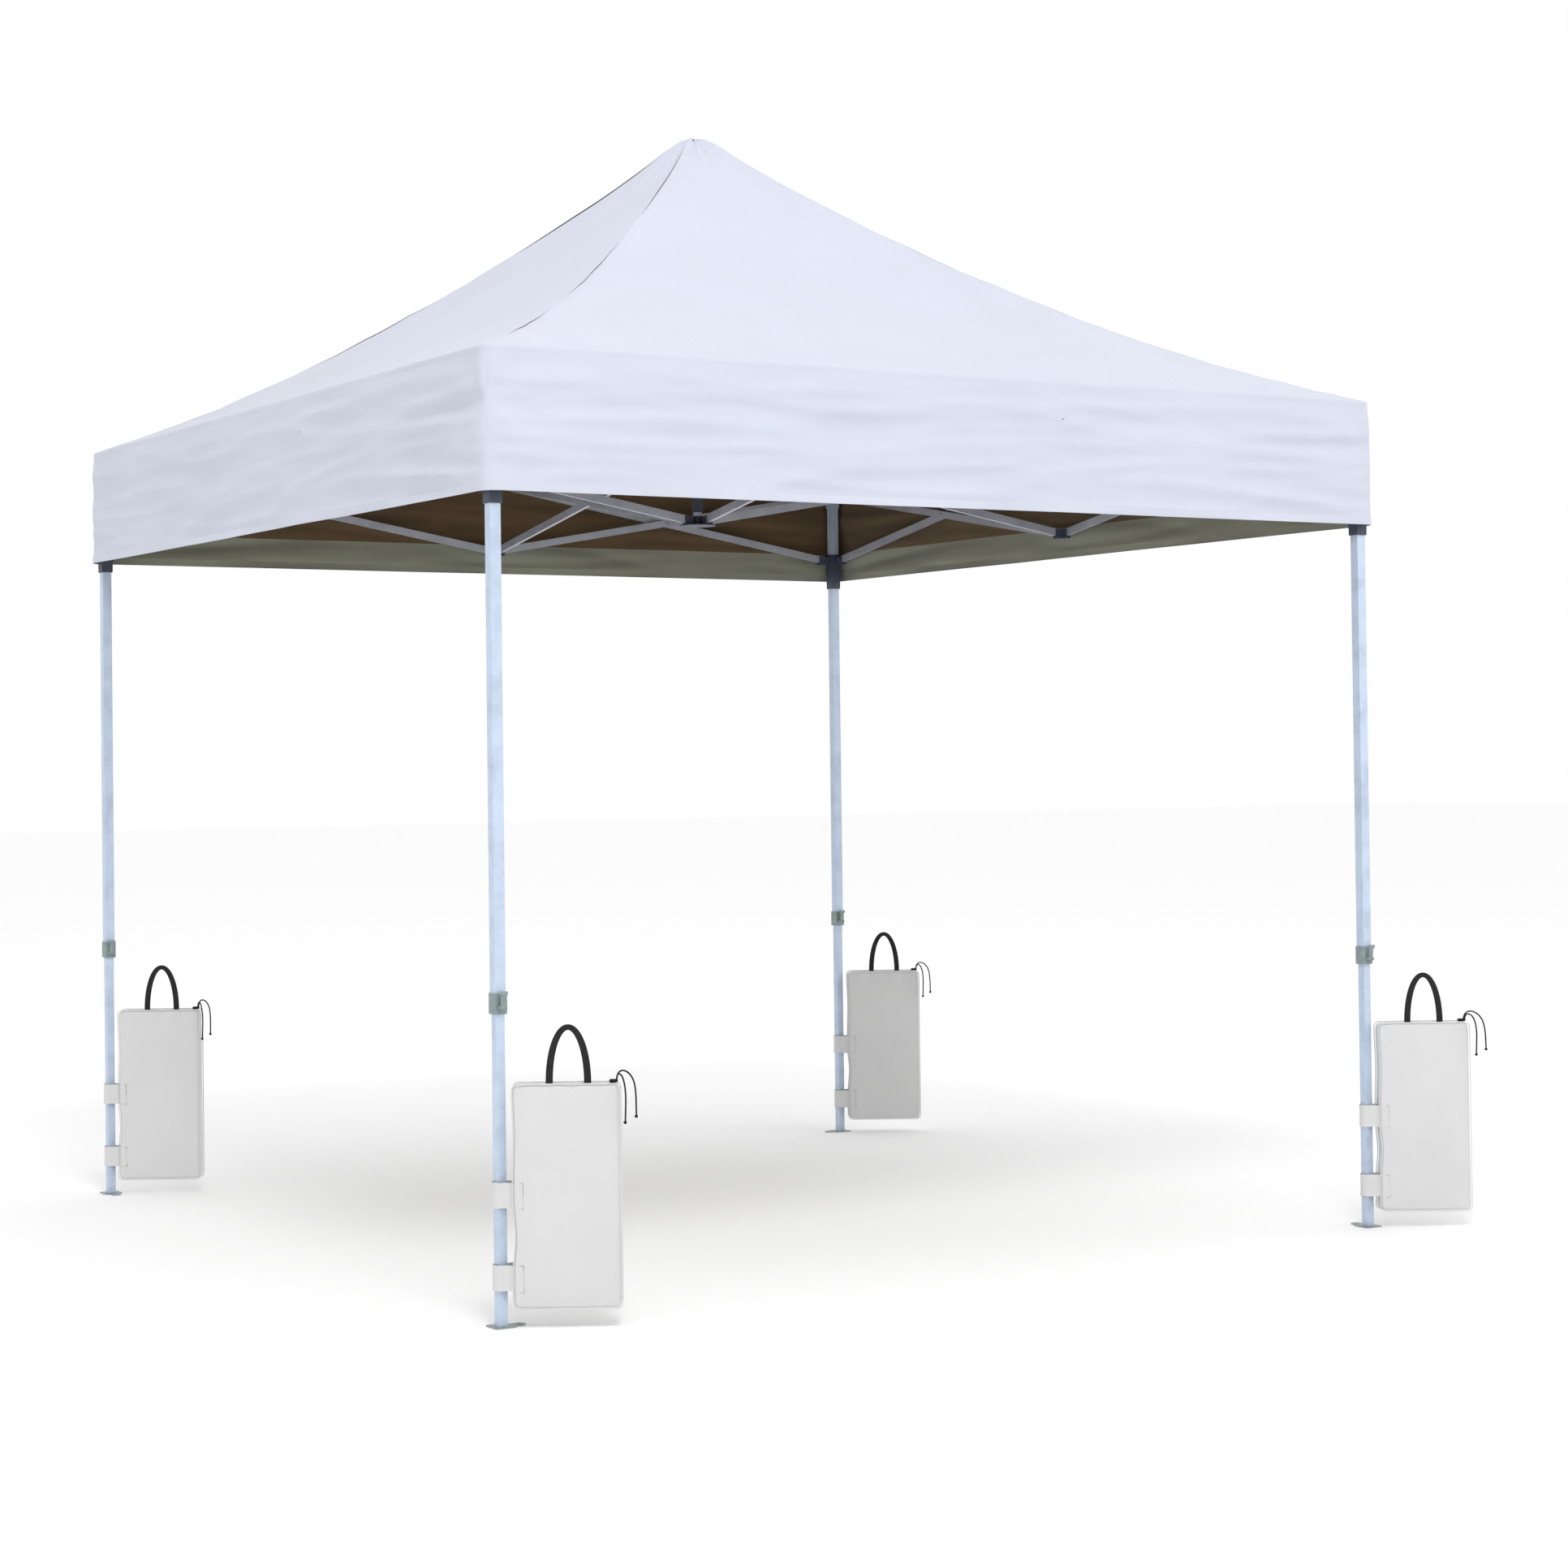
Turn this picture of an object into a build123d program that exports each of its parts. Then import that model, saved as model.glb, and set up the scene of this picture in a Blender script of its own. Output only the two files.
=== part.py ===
"""Pop up canopy: a folding truss frame on four telescopic legs, a hip-roofed cover and four strapped weight bags.

Frame: +Z up, the origin on the ground at the middle of the frame. Sizes are in millimetres.
A side is drawn once, as the south side (outward normal -Y), and turned about Z for the other three.
A corner is drawn once, as the south-east corner, and turned in the same way.
"""
from build123d import *
import os
from math import atan2, cos, degrees, radians, sin, sqrt

os.makedirs("parts", exist_ok=True)

# ---- driving dimensions ----
HALF_SPAN = 1455.0  # leg centre to the middle of the frame, along X and along Y
TRUSS_TOP = 2430.0  # height of the upper pivots
TRUSS_HEIGHT = 240.0  # upper pivots to lower pivots, open

COVER_GAP = 35.0  # leg centre to the cover
COVER_HALF = HALF_SPAN + COVER_GAP  # half width of the cover
EAVE_Z = TRUSS_TOP + 50.0
VALANCE_DROP = 370.0
VALANCE_Z = EAVE_Z - VALANCE_DROP  # lower edge of the valance
ROOF_RISE = 920.0
PEAK_Z = EAVE_Z + ROOF_RISE
ROOF_SAG = 100.0  # how far a hip hangs below a straight line, at its middle
PEAK_PATCH = 30.0  # half width of the flat patch over the pole
FABRIC = 1.5  # thickness of the cover
ROOF_LEVELS = 8

BAR_WIDTH = 25.0
BAR_THICK = 12.0
BAR_WALL = 1.2
BAR_GAP = 3.0  # between the two bars of a scissor pair
BAR_OFFSET = (BAR_THICK + BAR_GAP) / 2  # each bar of a scissor pair, off the pair's middle plane
SIDE_GAP = 0.5  # each side of a bar, in its bracket

PIN_R = 3.0
PIN_CLEARANCE = 0.05
RIVET_HEAD_R = 4.2
RIVET_HEAD = 1.5
CHEEK = 3.0  # bracket cheek plates
CHEEK_REACH = BAR_WIDTH / 2 + 1.5  # past a pivot, along the bar
WEB = 3.5  # bracket web plate
WEB_GAP = 2.0  # web to a bar
EYE_LENGTH = 34.0  # pivot to the end of the tube that the nylon eye plugs
PLUG_DEPTH = 22.0

POLE_R = 13.5
POLE_WALL = 1.5
POLE_CLEARANCE = 0.5
POLE_DROP = 7.0  # pole's top below the cover's peak
POLE_TOP = PEAK_Z - POLE_DROP
POLE_CAP = 22.0
GUIDE_WALL = 3.0
GUIDE_R = POLE_R + POLE_CLEARANCE + GUIDE_WALL
GUIDE_LENGTH = TRUSS_HEIGHT - 25.0  # below the upper pivots

FOLDED_GAP = 10.5  # between a hub's guide tube and a bar folded beside it
PIVOT_HUB = GUIDE_R + BAR_WIDTH / 2 + FOLDED_GAP  # hub centre to a hub pivot
PIVOT_MID = BAR_WIDTH / 2 + 9.5  # mid bracket's middle to its two side pivots
PIVOT_INNER = BAR_OFFSET + BAR_THICK / 2 + 2 * SIDE_GAP + CHEEK + BAR_WIDTH / 2  # side plane to the inward pivot
PIVOT_LEG = PIVOT_HUB + PIVOT_INNER - PIVOT_MID  # leg centre to a bracket pivot
HUB_R = PIVOT_HUB + BAR_WIDTH / 2 + 5.5

OUTER_LEG = 30.0
OUTER_WALL = 1.4
LEG_GAP = 1.1  # outer leg's inner face to the inner leg
INNER_LEG = OUTER_LEG - 2 * (OUTER_WALL + LEG_GAP)
INNER_WALL = 1.4
LEG_TOP = TRUSS_TOP + 40.0
COLLAR_Z = 815.0  # middle of the collar
COLLAR_HEIGHT = 53.0
COLLAR_WIDTH = OUTER_LEG + 7.0
OUTER_BOTTOM = COLLAR_Z - 15.0
GUIDE_GAP = 0.4  # inner leg in the collar
LEG_OVERLAP = 150.0  # inner leg inside the outer leg
BRACKET_SLEEVE = OUTER_LEG + 6.0
BRACKET_DROP = 40.0  # top bracket's sleeve, below the pivots
SLIDER_SLEEVE = OUTER_LEG + 10.0
SLIDER_GAP = 0.5
SLIDER_DROP = 110.0
SLIDER_RISE = 20.0
SLIDER_MOUTH = SLIDER_SLEEVE - 3.0  # width at the lower end of its taper

SOLE = 60.0
SOLE_THICK = 3.0
TAB_WIDTH = 30.0
TAB_HOLE_R = 5.5
TAB_HOLE_AT = 52.0  # leg centre to the stake hole

LEVER_WIDTH = 14.0
LEVER_LENGTH = 42.0
LEVER_THICK = 5.0
EAR = 3.0
LEVER_DEPTH = 9.0  # collar face to the lever's pivot
LEVER_PIVOT_Z = COLLAR_Z - 10.0

BAG_DIRECTION = -30.4  # degrees about Z, leg to bag
BAG_EDGE = 30.0  # leg centre to the bag's near edge
BAG_WIDTH = 280.0
BAG_DEPTH = 85.0
BAG_HEIGHT = 570.0
BAG_BOTTOM = 45.0
BAG_ROUND = 30.0
STRAP_HEIGHT = 65.0
STRAP_THICK = 2.0
STRAP_BELOW_TOP = (282.0, BAG_HEIGHT - 80.0)  # bag's top to each strap's middle
STRAP_BRIDGE = 22.0
HANDLE_WIDTH = 115.0
HANDLE_HEIGHT = 147.0
HANDLE_BAND = 18.0
HANDLE_DEPTH = 8.0
HANDLE_AT = 146.0  # bag's near edge to the handle's middle
HANDLE_SUNK = 6.0  # handle ends, sewn into the top seam
CORD_R = 2.2
CORD_ALONG = 268.0  # bag's near edge to where the ties are sewn in

# ---- worked out from the driving dimensions ----
TRUSS_LOW = TRUSS_TOP - TRUSS_HEIGHT
TRUSS_MID = TRUSS_TOP - TRUSS_HEIGHT / 2
BAR_RUN = HALF_SPAN - PIVOT_LEG - PIVOT_MID  # level distance between a bar's end pivots
BAR_LENGTH = sqrt(BAR_RUN**2 + TRUSS_HEIGHT**2)
BAR_ANGLE = degrees(atan2(TRUSS_HEIGHT, BAR_RUN))
HUB_RUN = HALF_SPAN - PIVOT_INNER - PIVOT_HUB
HOLE_R = PIN_R + PIN_CLEARANCE
WEB_NEAR = BAR_WIDTH / 2 + WEB_GAP
WEB_FAR = WEB_NEAR + WEB
BAG_TOP = BAG_BOTTOM + BAG_HEIGHT
INNER_TOP = OUTER_BOTTOM + LEG_OVERLAP

SIDES = {"south": 0, "east": 90, "north": 180, "west": 270}
CORNERS = {"se": 0, "ne": 90, "nw": 180, "sw": 270}
assert abs(HUB_RUN - BAR_RUN) < 1e-6  # every bar is the same length


def save(name, shape, turn=0, shift=(0, 0, 0)):
    """Turn a piece about the middle of the frame, shift it and write it."""
    placed = shape.rotate(Axis.Z, turn) if turn else shape
    placed = Compound(children=list(placed.translate(shift).solids()))
    placed.label = name
    export_step(placed, f"parts/{name}.step")


def block(x0, x1, y0, y1, z0, z1):
    """A box from its lowest to its highest corner, given in any order."""
    low = (min(x0, x1), min(y0, y1), min(z0, z1))
    high = (max(x0, x1), max(y0, y1), max(z0, z1))
    sizes = [b - a for a, b in zip(low, high)]
    return Pos(*low) * Box(*sizes, align=(Align.MIN, Align.MIN, Align.MIN))


def rod(start, along, length, radius):
    """A cylinder from start, in the direction of the axis named by along: X, Y or Z."""
    turned = {"X": Rot(0, 90, 0), "Y": Rot(-90, 0, 0), "Z": Rot(0, 0, 0)}[along]
    return Pos(*start) * turned * Cylinder(radius, length, align=(Align.CENTER, Align.CENTER, Align.MIN))


def rivet(x, y, z, along, low, high):
    """A rivet through (x, y, z) along X or Y, its shank from low to high off the point, with a head at each end."""
    step = (1, 0, 0) if along == "X" else (0, 1, 0)
    at = lambda d: (x + step[0] * d, y + step[1] * d, z)
    shank = rod(at(low), along, high - low, PIN_R)
    heads = [rod(at(end), along, RIVET_HEAD, RIVET_HEAD_R) for end in (low - RIVET_HEAD, high)]
    return shank + heads[0] + heads[1]


# ---- truss bars ----
def bar_pieces():
    """A truss bar along X, its middle at the origin and its thickness along Y: tube and two nylon end eyes."""
    half = BAR_LENGTH / 2
    tube_half = half - EYE_LENGTH
    tube = block(-tube_half, tube_half, -BAR_THICK / 2, BAR_THICK / 2, -BAR_WIDTH / 2, BAR_WIDTH / 2)
    in_y, in_z = BAR_THICK / 2 - BAR_WALL, BAR_WIDTH / 2 - BAR_WALL
    tube -= block(-tube_half, tube_half, -in_y, in_y, -in_z, in_z)
    tube -= rod((0, -BAR_THICK / 2, 0), "Y", BAR_THICK, HOLE_R)
    pieces = [tube]
    for end in (-1, 1):
        eye = rod((end * half, -BAR_THICK / 2, 0), "Y", BAR_THICK, BAR_WIDTH / 2)
        eye += block(end * tube_half, end * half, -BAR_THICK / 2, BAR_THICK / 2, -BAR_WIDTH / 2, BAR_WIDTH / 2)
        eye += block(end * (tube_half - PLUG_DEPTH), end * tube_half, -in_y, in_y, -in_z, in_z)
        eye -= rod((end * half, -BAR_THICK / 2, 0), "Y", BAR_THICK, HOLE_R)
        pieces.append(eye)
    return pieces


def bar(middle, slope, offset, crossing):
    """A bar in an XZ plane, at offset along Y, with the crossing rivet where crossing is true."""
    place = Pos(middle, offset, TRUSS_MID) * Rot(0, -slope, 0)
    pieces = [place * piece for piece in bar_pieces()]
    if crossing:
        side = 1 if offset < 0 else -1
        reach = BAR_THICK + 2 * BAR_OFFSET + PIN_CLEARANCE * 4
        low, high = sorted((offset - side * BAR_THICK / 2, offset + side * (reach - BAR_THICK / 2)))
        joint = rivet(middle, 0, TRUSS_MID, "Y", low, high)
        washer = sorted((offset + side * BAR_THICK / 2, -offset - side * (BAR_THICK / 2 + 0.3)))
        joint += rod((middle, washer[0], TRUSS_MID), "Y", washer[1] - washer[0], PIN_R + 4)
        pieces.append(joint)
    return Compound(children=pieces)


def perimeter_bar(hand, kind):
    """Bar A rises from the mid bracket to the leg, on the inward side; bar B from the slider up to the mid bracket."""
    middle = hand * (PIVOT_MID + BAR_RUN / 2)
    slope = hand * BAR_ANGLE * (1 if kind == "rise" else -1)
    offset = BAR_OFFSET if kind == "rise" else -BAR_OFFSET
    return Pos(0, -HALF_SPAN, 0) * bar(middle, slope, offset, kind == "rise")


def central_bar(kind):
    """Bar D falls from the upper hub to the lower mid bracket; bar C rises from the lower hub to the upper one."""
    middle = PIVOT_HUB + BAR_RUN / 2
    slope = -BAR_ANGLE if kind == "fall" else BAR_ANGLE
    offset = -BAR_OFFSET if kind == "fall" else BAR_OFFSET
    return bar(middle, slope, offset, kind == "fall").rotate(Axis.Z, -90)


# ---- moulded brackets ----
def mid_bracket(upper):
    """The bracket in the middle of the south side: two side pivots along Y and one inward pivot along X."""
    sign = 1 if upper else -1
    z = TRUSS_TOP if upper else TRUSS_LOW
    plane = -HALF_SPAN
    bar_y = plane - BAR_OFFSET if upper else plane + BAR_OFFSET
    bar_x = BAR_OFFSET if upper else -BAR_OFFSET
    half_gap = BAR_THICK / 2 + SIDE_GAP
    web_z = (z + sign * WEB_NEAR, z + sign * WEB_FAR)
    cheek_z = (z - sign * BAR_WIDTH / 2, z + sign * WEB_FAR)
    side_x = PIVOT_MID + CHEEK_REACH
    outer, inner = bar_y - half_gap, bar_y + half_gap
    pivot_y = plane + PIVOT_INNER
    inner_face = pivot_y - BAR_WIDTH / 2 - SIDE_GAP  # the inward bar's end clears this face
    reach_y = pivot_y + CHEEK_REACH
    body = block(-side_x, side_x, outer - CHEEK, outer, *cheek_z)
    body += block(-side_x, side_x, inner, inner_face, *cheek_z)
    body += block(-side_x, side_x, outer - CHEEK, inner_face, *web_z)
    x_low, x_high = bar_x - half_gap - CHEEK, bar_x + half_gap + CHEEK
    for x0 in (x_low, x_high - CHEEK):
        body += block(x0, x0 + CHEEK, inner_face, reach_y, *cheek_z)
    body += block(x_low, x_high, inner_face, reach_y, *web_z)
    shank_low, shank_high = outer - CHEEK - bar_y, inner_face - bar_y
    rivets = []
    for side in (-1, 1):
        x = side * PIVOT_MID
        body -= rod((x, outer - CHEEK, z), "Y", inner_face - outer + CHEEK, HOLE_R)
        rivets.append(rivet(x, bar_y, z, "Y", shank_low, shank_high))
    body -= rod((x_low, pivot_y, z), "X", x_high - x_low, HOLE_R)
    rivets.append(rivet(bar_x, pivot_y, z, "X", x_low - bar_x, x_high - bar_x))
    return Compound(children=[body, *rivets])


def hub_clevises(z, sign, bar_side):
    """Four clevises about the middle, and the four rivets through them."""
    half_gap = BAR_THICK / 2 + SIDE_GAP
    web_z = (z + sign * WEB_NEAR, z + sign * WEB_FAR)
    cheek_z = (z - sign * BAR_WIDTH / 2, z + sign * WEB_FAR)
    bar_x = bar_side * BAR_OFFSET
    x_low, x_high = bar_x - half_gap - CHEEK, bar_x + half_gap + CHEEK
    inner, outer = PIVOT_HUB - CHEEK_REACH, PIVOT_HUB + CHEEK_REACH
    body, rivets = None, []
    for turn in SIDES.values():
        arm = block(x_low, x_low + CHEEK, -outer, -inner, *cheek_z)
        arm += block(x_high - CHEEK, x_high, -outer, -inner, *cheek_z)
        arm -= rod((x_low, -PIVOT_HUB, z), "X", x_high - x_low, HOLE_R)
        arm = arm.rotate(Axis.Z, turn)
        body = arm if body is None else body + arm
        pin = rivet(bar_x, -PIVOT_HUB, z, "X", x_low - bar_x, x_high - bar_x)
        rivets.append(pin.rotate(Axis.Z, turn))
    body += rod((0, 0, min(web_z)), "Z", WEB, HUB_R)
    return body, rivets


def upper_hub():
    """Round hub with a guide tube that the peak pole slides through."""
    body, rivets = hub_clevises(TRUSS_TOP, 1, -1)
    bore = POLE_R + POLE_CLEARANCE
    low = TRUSS_TOP - GUIDE_LENGTH
    top = TRUSS_TOP + WEB_FAR
    body += rod((0, 0, low), "Z", top + CHEEK - low, GUIDE_R)
    body -= rod((0, 0, low), "Z", top + CHEEK - low, bore)
    return Compound(children=[body, *rivets])


def lower_hub():
    """Round hub with a blind socket for the peak pole."""
    body, rivets = hub_clevises(TRUSS_LOW, -1, 1)
    body += rod((0, 0, TRUSS_LOW - WEB_FAR), "Z", WEB_FAR + BAR_WIDTH / 2, GUIDE_R)
    body -= rod((0, 0, TRUSS_LOW - WEB_NEAR), "Z", WEB_NEAR + BAR_WIDTH / 2, POLE_R)
    return Compound(children=[body, *rivets])


def peak_pole():
    """Steel tube standing in the lower hub, and the domed cap that its top carries."""
    foot = TRUSS_LOW - WEB_NEAR
    tube_top = POLE_TOP - POLE_R
    tube = rod((0, 0, foot), "Z", tube_top - foot, POLE_R)
    tube -= rod((0, 0, foot), "Z", tube_top - foot, POLE_R - POLE_WALL)
    cap = rod((0, 0, tube_top - POLE_CAP), "Z", POLE_CAP, POLE_R - POLE_WALL)
    cap += Pos(0, 0, tube_top) * Sphere(POLE_R, arc_size1=0, arc_size2=90)
    return Compound(children=[tube, cap])


# ---- legs, drawn at the south-east corner ----
def square_tube(outer, inner, z0, z1):
    """An upright square tube about the corner's leg centre."""
    tube = block(-outer / 2, outer / 2, -outer / 2, outer / 2, z0, z1)
    tube -= block(-inner / 2, inner / 2, -inner / 2, inner / 2, z0, z1)
    return tube


def corner_arms(z, sign, sleeve, inward):
    """The two clevises of a leg bracket. inward is 1 where the bars lie inside the side's middle plane."""
    half_gap = BAR_THICK / 2 + SIDE_GAP
    web_z = (z + sign * WEB_NEAR, z + sign * WEB_FAR)
    cheek_z = (z - sign * BAR_WIDTH / 2, z + sign * WEB_FAR)
    low = inward * BAR_OFFSET - half_gap - CHEEK
    high = inward * BAR_OFFSET + half_gap + CHEEK
    start, end = sleeve / 2, PIVOT_LEG + CHEEK_REACH
    south = block(-end, -start, low, low + CHEEK, *cheek_z) + block(-end, -start, high - CHEEK, high, *cheek_z)
    south += block(-end, -start, low, high, *web_z)
    south -= rod((-PIVOT_LEG, low, z), "Y", high - low, HOLE_R)
    east = block(-low, -low - CHEEK, start, end, *cheek_z) + block(-high + CHEEK, -high, start, end, *cheek_z)
    east += block(-low, -high, start, end, *web_z)
    east -= rod((-high, PIVOT_LEG, z), "X", high - low, HOLE_R)
    rivets = [
        rivet(-PIVOT_LEG, 0, z, "Y", low, high),
        rivet(0, PIVOT_LEG, z, "X", -high, -low),
    ]
    return south + east, rivets


def top_bracket():
    """Nylon bracket on the leg's top, with the two rivets that carry the rising bars."""
    arms, rivets = corner_arms(TRUSS_TOP, 1, BRACKET_SLEEVE, 1)
    sleeve = square_tube(BRACKET_SLEEVE, OUTER_LEG, TRUSS_TOP - BRACKET_DROP, LEG_TOP)
    half = BRACKET_SLEEVE / 2
    sleeve += block(-half, half, -half, half, LEG_TOP, LEG_TOP + CHEEK)
    return [sleeve + arms, *rivets]


def slider():
    """Nylon sleeve that runs on the outer leg, tapered below, with the rivets of the falling bars."""
    arms, rivets = corner_arms(TRUSS_LOW, -1, SLIDER_SLEEVE, -1)
    bore = OUTER_LEG + 2 * SLIDER_GAP
    low, high = TRUSS_LOW - SLIDER_DROP, TRUSS_LOW + SLIDER_RISE
    waist = TRUSS_LOW - WEB_FAR - 6
    body = block(-SLIDER_SLEEVE / 2, SLIDER_SLEEVE / 2, -SLIDER_SLEEVE / 2, SLIDER_SLEEVE / 2, waist, high)
    taper = loft(
        [
            Plane.XY.offset(low) * Rectangle(SLIDER_MOUTH, SLIDER_MOUTH),
            Plane.XY.offset(waist) * Rectangle(SLIDER_SLEEVE, SLIDER_SLEEVE),
        ],
        ruled=True,
    )
    body = body + taper - block(-bore / 2, bore / 2, -bore / 2, bore / 2, low, high)
    return Compound(children=[body + arms, *rivets])


def collar():
    """Moulded collar on the outer leg's lower end, with the lock lever's ears on its -Y face."""
    low, high = COLLAR_Z - COLLAR_HEIGHT / 2, COLLAR_Z + COLLAR_HEIGHT / 2
    half = COLLAR_WIDTH / 2
    body = fillet(block(-half, half, -half, half, low, high).edges().filter_by(Axis.Z), 4)
    body -= block(-OUTER_LEG / 2, OUTER_LEG / 2, -OUTER_LEG / 2, OUTER_LEG / 2, OUTER_BOTTOM, high)
    bore = INNER_LEG / 2 + GUIDE_GAP
    body -= block(-bore, bore, -bore, bore, low, OUTER_BOTTOM)
    ear_in = LEVER_WIDTH / 2 + SIDE_GAP
    for side in (-1, 1):
        ear = block(side * ear_in, side * (ear_in + EAR), -half, -half - LEVER_DEPTH, LEVER_PIVOT_Z - 5, LEVER_PIVOT_Z + 5)
        ear += rod((min(side * ear_in, side * (ear_in + EAR)), -half - LEVER_DEPTH, LEVER_PIVOT_Z), "X", EAR, 5)
        body += ear
    body -= rod((-ear_in - EAR, -half - LEVER_DEPTH, LEVER_PIVOT_Z), "X", 2 * (ear_in + EAR), 2 + PIN_CLEARANCE)
    return body


def lock_lever():
    """Flip lever with its own cross pin: a barrel round the pin and a curved thumb tab above it."""
    half = COLLAR_WIDTH / 2
    pivot = (0, -half - LEVER_DEPTH, LEVER_PIVOT_Z)
    ear_in = LEVER_WIDTH / 2 + SIDE_GAP
    lever = rod((-LEVER_WIDTH / 2, pivot[1], pivot[2]), "X", LEVER_WIDTH, 4.5)
    tab_side = Pos(0, pivot[1], pivot[2]) * Rot(8, 0, 0) * block(
        -LEVER_WIDTH / 2, LEVER_WIDTH / 2, -LEVER_THICK / 2, LEVER_THICK / 2, 0, LEVER_LENGTH
    )
    tip = Pos(0, pivot[1], pivot[2]) * Rot(8, 0, 0) * block(
        -LEVER_WIDTH / 2 - 3, LEVER_WIDTH / 2 + 3, -LEVER_THICK / 2 - 2, LEVER_THICK / 2, LEVER_LENGTH - 9, LEVER_LENGTH
    )
    lever += tab_side + tip
    lever += rod((-ear_in - EAR, pivot[1], pivot[2]), "X", 2 * (ear_in + EAR), 2)
    return lever


def outer_leg(turn):
    """Outer tube, top bracket and collar of one corner. The collar keeps its face to the south at every corner."""
    tube = square_tube(OUTER_LEG, OUTER_LEG - 2 * OUTER_WALL, OUTER_BOTTOM, LEG_TOP)
    turned = [piece.rotate(Axis.Z, turn) for piece in (tube, *top_bracket())]
    return Compound(children=[*turned, collar()])


def inner_leg(turn):
    """Inner tube with the welded sole plate and its stake tab."""
    tube = square_tube(INNER_LEG, INNER_LEG - 2 * INNER_WALL, SOLE_THICK, INNER_TOP)
    sole = fillet(block(-SOLE / 2, SOLE / 2, -SOLE / 2, SOLE / 2, 0, SOLE_THICK).edges().filter_by(Axis.Z), 5)
    sole += block(-TAB_WIDTH / 2, TAB_WIDTH / 2, 0, TAB_HOLE_AT, 0, SOLE_THICK)
    sole += rod((0, TAB_HOLE_AT, 0), "Z", SOLE_THICK, TAB_WIDTH / 2)
    sole -= rod((0, TAB_HOLE_AT, 0), "Z", SOLE_THICK, TAB_HOLE_R)
    return Compound(children=[piece.rotate(Axis.Z, turn) for piece in (tube, sole)])


# ---- weight bags, drawn along +X from a leg at the origin ----
def handle():
    """Webbing grab handle: an arch standing on the bag's top."""
    outer, inner = HANDLE_WIDTH / 2, HANDLE_WIDTH / 2 - HANDLE_BAND
    rise = HANDLE_HEIGHT - outer
    arch = rod((0, -HANDLE_DEPTH / 2, rise), "Y", HANDLE_DEPTH, outer)
    arch += block(-outer, outer, -HANDLE_DEPTH / 2, HANDLE_DEPTH / 2, -HANDLE_SUNK, rise)
    arch -= rod((0, -HANDLE_DEPTH / 2, rise), "Y", HANDLE_DEPTH, inner)
    arch -= block(-inner, inner, -HANDLE_DEPTH / 2, HANDLE_DEPTH / 2, -HANDLE_SUNK, rise)
    return Pos(BAG_EDGE + HANDLE_AT, 0, BAG_TOP) * arch


def weight_bag():
    """Filled case, grab handle and two wrap straps, which hug the square inner leg."""
    case = block(BAG_EDGE, BAG_EDGE + BAG_WIDTH, -BAG_DEPTH / 2, BAG_DEPTH / 2, BAG_BOTTOM, BAG_TOP)
    case = fillet(case.edges().filter_by(Axis.Z), BAG_ROUND)
    bag = (case + handle()).rotate(Axis.Z, BAG_DIRECTION)
    for below in STRAP_BELOW_TOP:
        z0, z1 = BAG_TOP - below - STRAP_HEIGHT / 2, BAG_TOP - below + STRAP_HEIGHT / 2
        bridge = block(0, BAG_EDGE + STRAP_THICK, -STRAP_BRIDGE / 2, STRAP_BRIDGE / 2, z0, z1)
        bag += bridge.rotate(Axis.Z, BAG_DIRECTION)
        wrap = INNER_LEG / 2 + STRAP_THICK
        bag += block(-wrap, wrap, -wrap, wrap, z0, z1)
        bag -= block(-INNER_LEG / 2, INNER_LEG / 2, -INNER_LEG / 2, INNER_LEG / 2, z0, z1)
    return bag


# Tie cords, from the seam at the bag's far top corner: along the bag, across it and above its top.
TIE_STRAIGHT = (
    (0, -8, 0),
    (0, -8, 15),
    (7, -24, 23),
    (16, -42, 16),
    (22, -53, -6),
    (24, -56, -36),
    (23, -55, -68),
    (22, -55, -98),
)
TIE_SWUNG = (
    (0, 6, 0),
    (0, 6, 16),
    (12, -8, 30),
    (30, -26, 26),
    (44, -42, 8),
    (49, -53, -20),
    (50, -58, -52),
    (50, -60, -82),
)
CORD_ARC_SHARE = 0.45  # share of the shorter run that an arc uses


def tie_cord(points):
    """A tie's tube: straight runs joined by arcs as large as the runs allow."""
    points = [Vector(BAG_EDGE + CORD_ALONG + x, y, BAG_TOP + z) for x, y, z in points]
    radii = []
    for before, here, after in zip(points, points[1:], points[2:]):
        turn = radians((here - before).get_angle(after - here))
        shorter = min((here - before).length, (after - here).length)
        radii.append(CORD_ARC_SHARE * shorter / (sin(turn / 2) / cos(turn / 2)))
    path = FilletPolyline(*points, radius=radii)
    start = Plane(points[0], z_dir=points[1] - points[0])
    print("tie", round(path.length, 1), "mm long, arcs", [round(r) for r in radii])
    return sweep(start * Circle(CORD_R), path=path)


def bag_ties():
    """The two black ties sewn into the bag's far top corner."""
    return Compound(children=[tie_cord(TIE_STRAIGHT), tie_cord(TIE_SWUNG)]).rotate(Axis.Z, BAG_DIRECTION)


# ---- cover ----
def roof_level(share):
    """Half width and height of the roof at a share of the way from the eave to the peak patch."""
    half = COVER_HALF + (PEAK_PATCH - COVER_HALF) * share
    return half, EAVE_Z + (PEAK_Z - EAVE_Z) * share - 4 * ROOF_SAG * share * (1 - share)


def hip_solid(inset):
    """The closed shape inside the cover's outer face, taken in by inset."""
    levels = [(COVER_HALF, VALANCE_Z)] + [roof_level(i / ROOF_LEVELS) for i in range(ROOF_LEVELS + 1)]
    rings = [Plane.XY.offset(z - inset) * Rectangle(2 * (half - inset), 2 * (half - inset)) for half, z in levels]
    return loft(rings, ruled=True)


def canopy_cover():
    """Hip roof and valances as one thin shell, open below."""
    return hip_solid(0) - hip_solid(FABRIC)


# ---- write every piece ----
save("canopy_cover", canopy_cover())
save("upper_hub", upper_hub())
save("lower_hub", lower_hub())
save("peak_pole", peak_pole())

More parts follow.
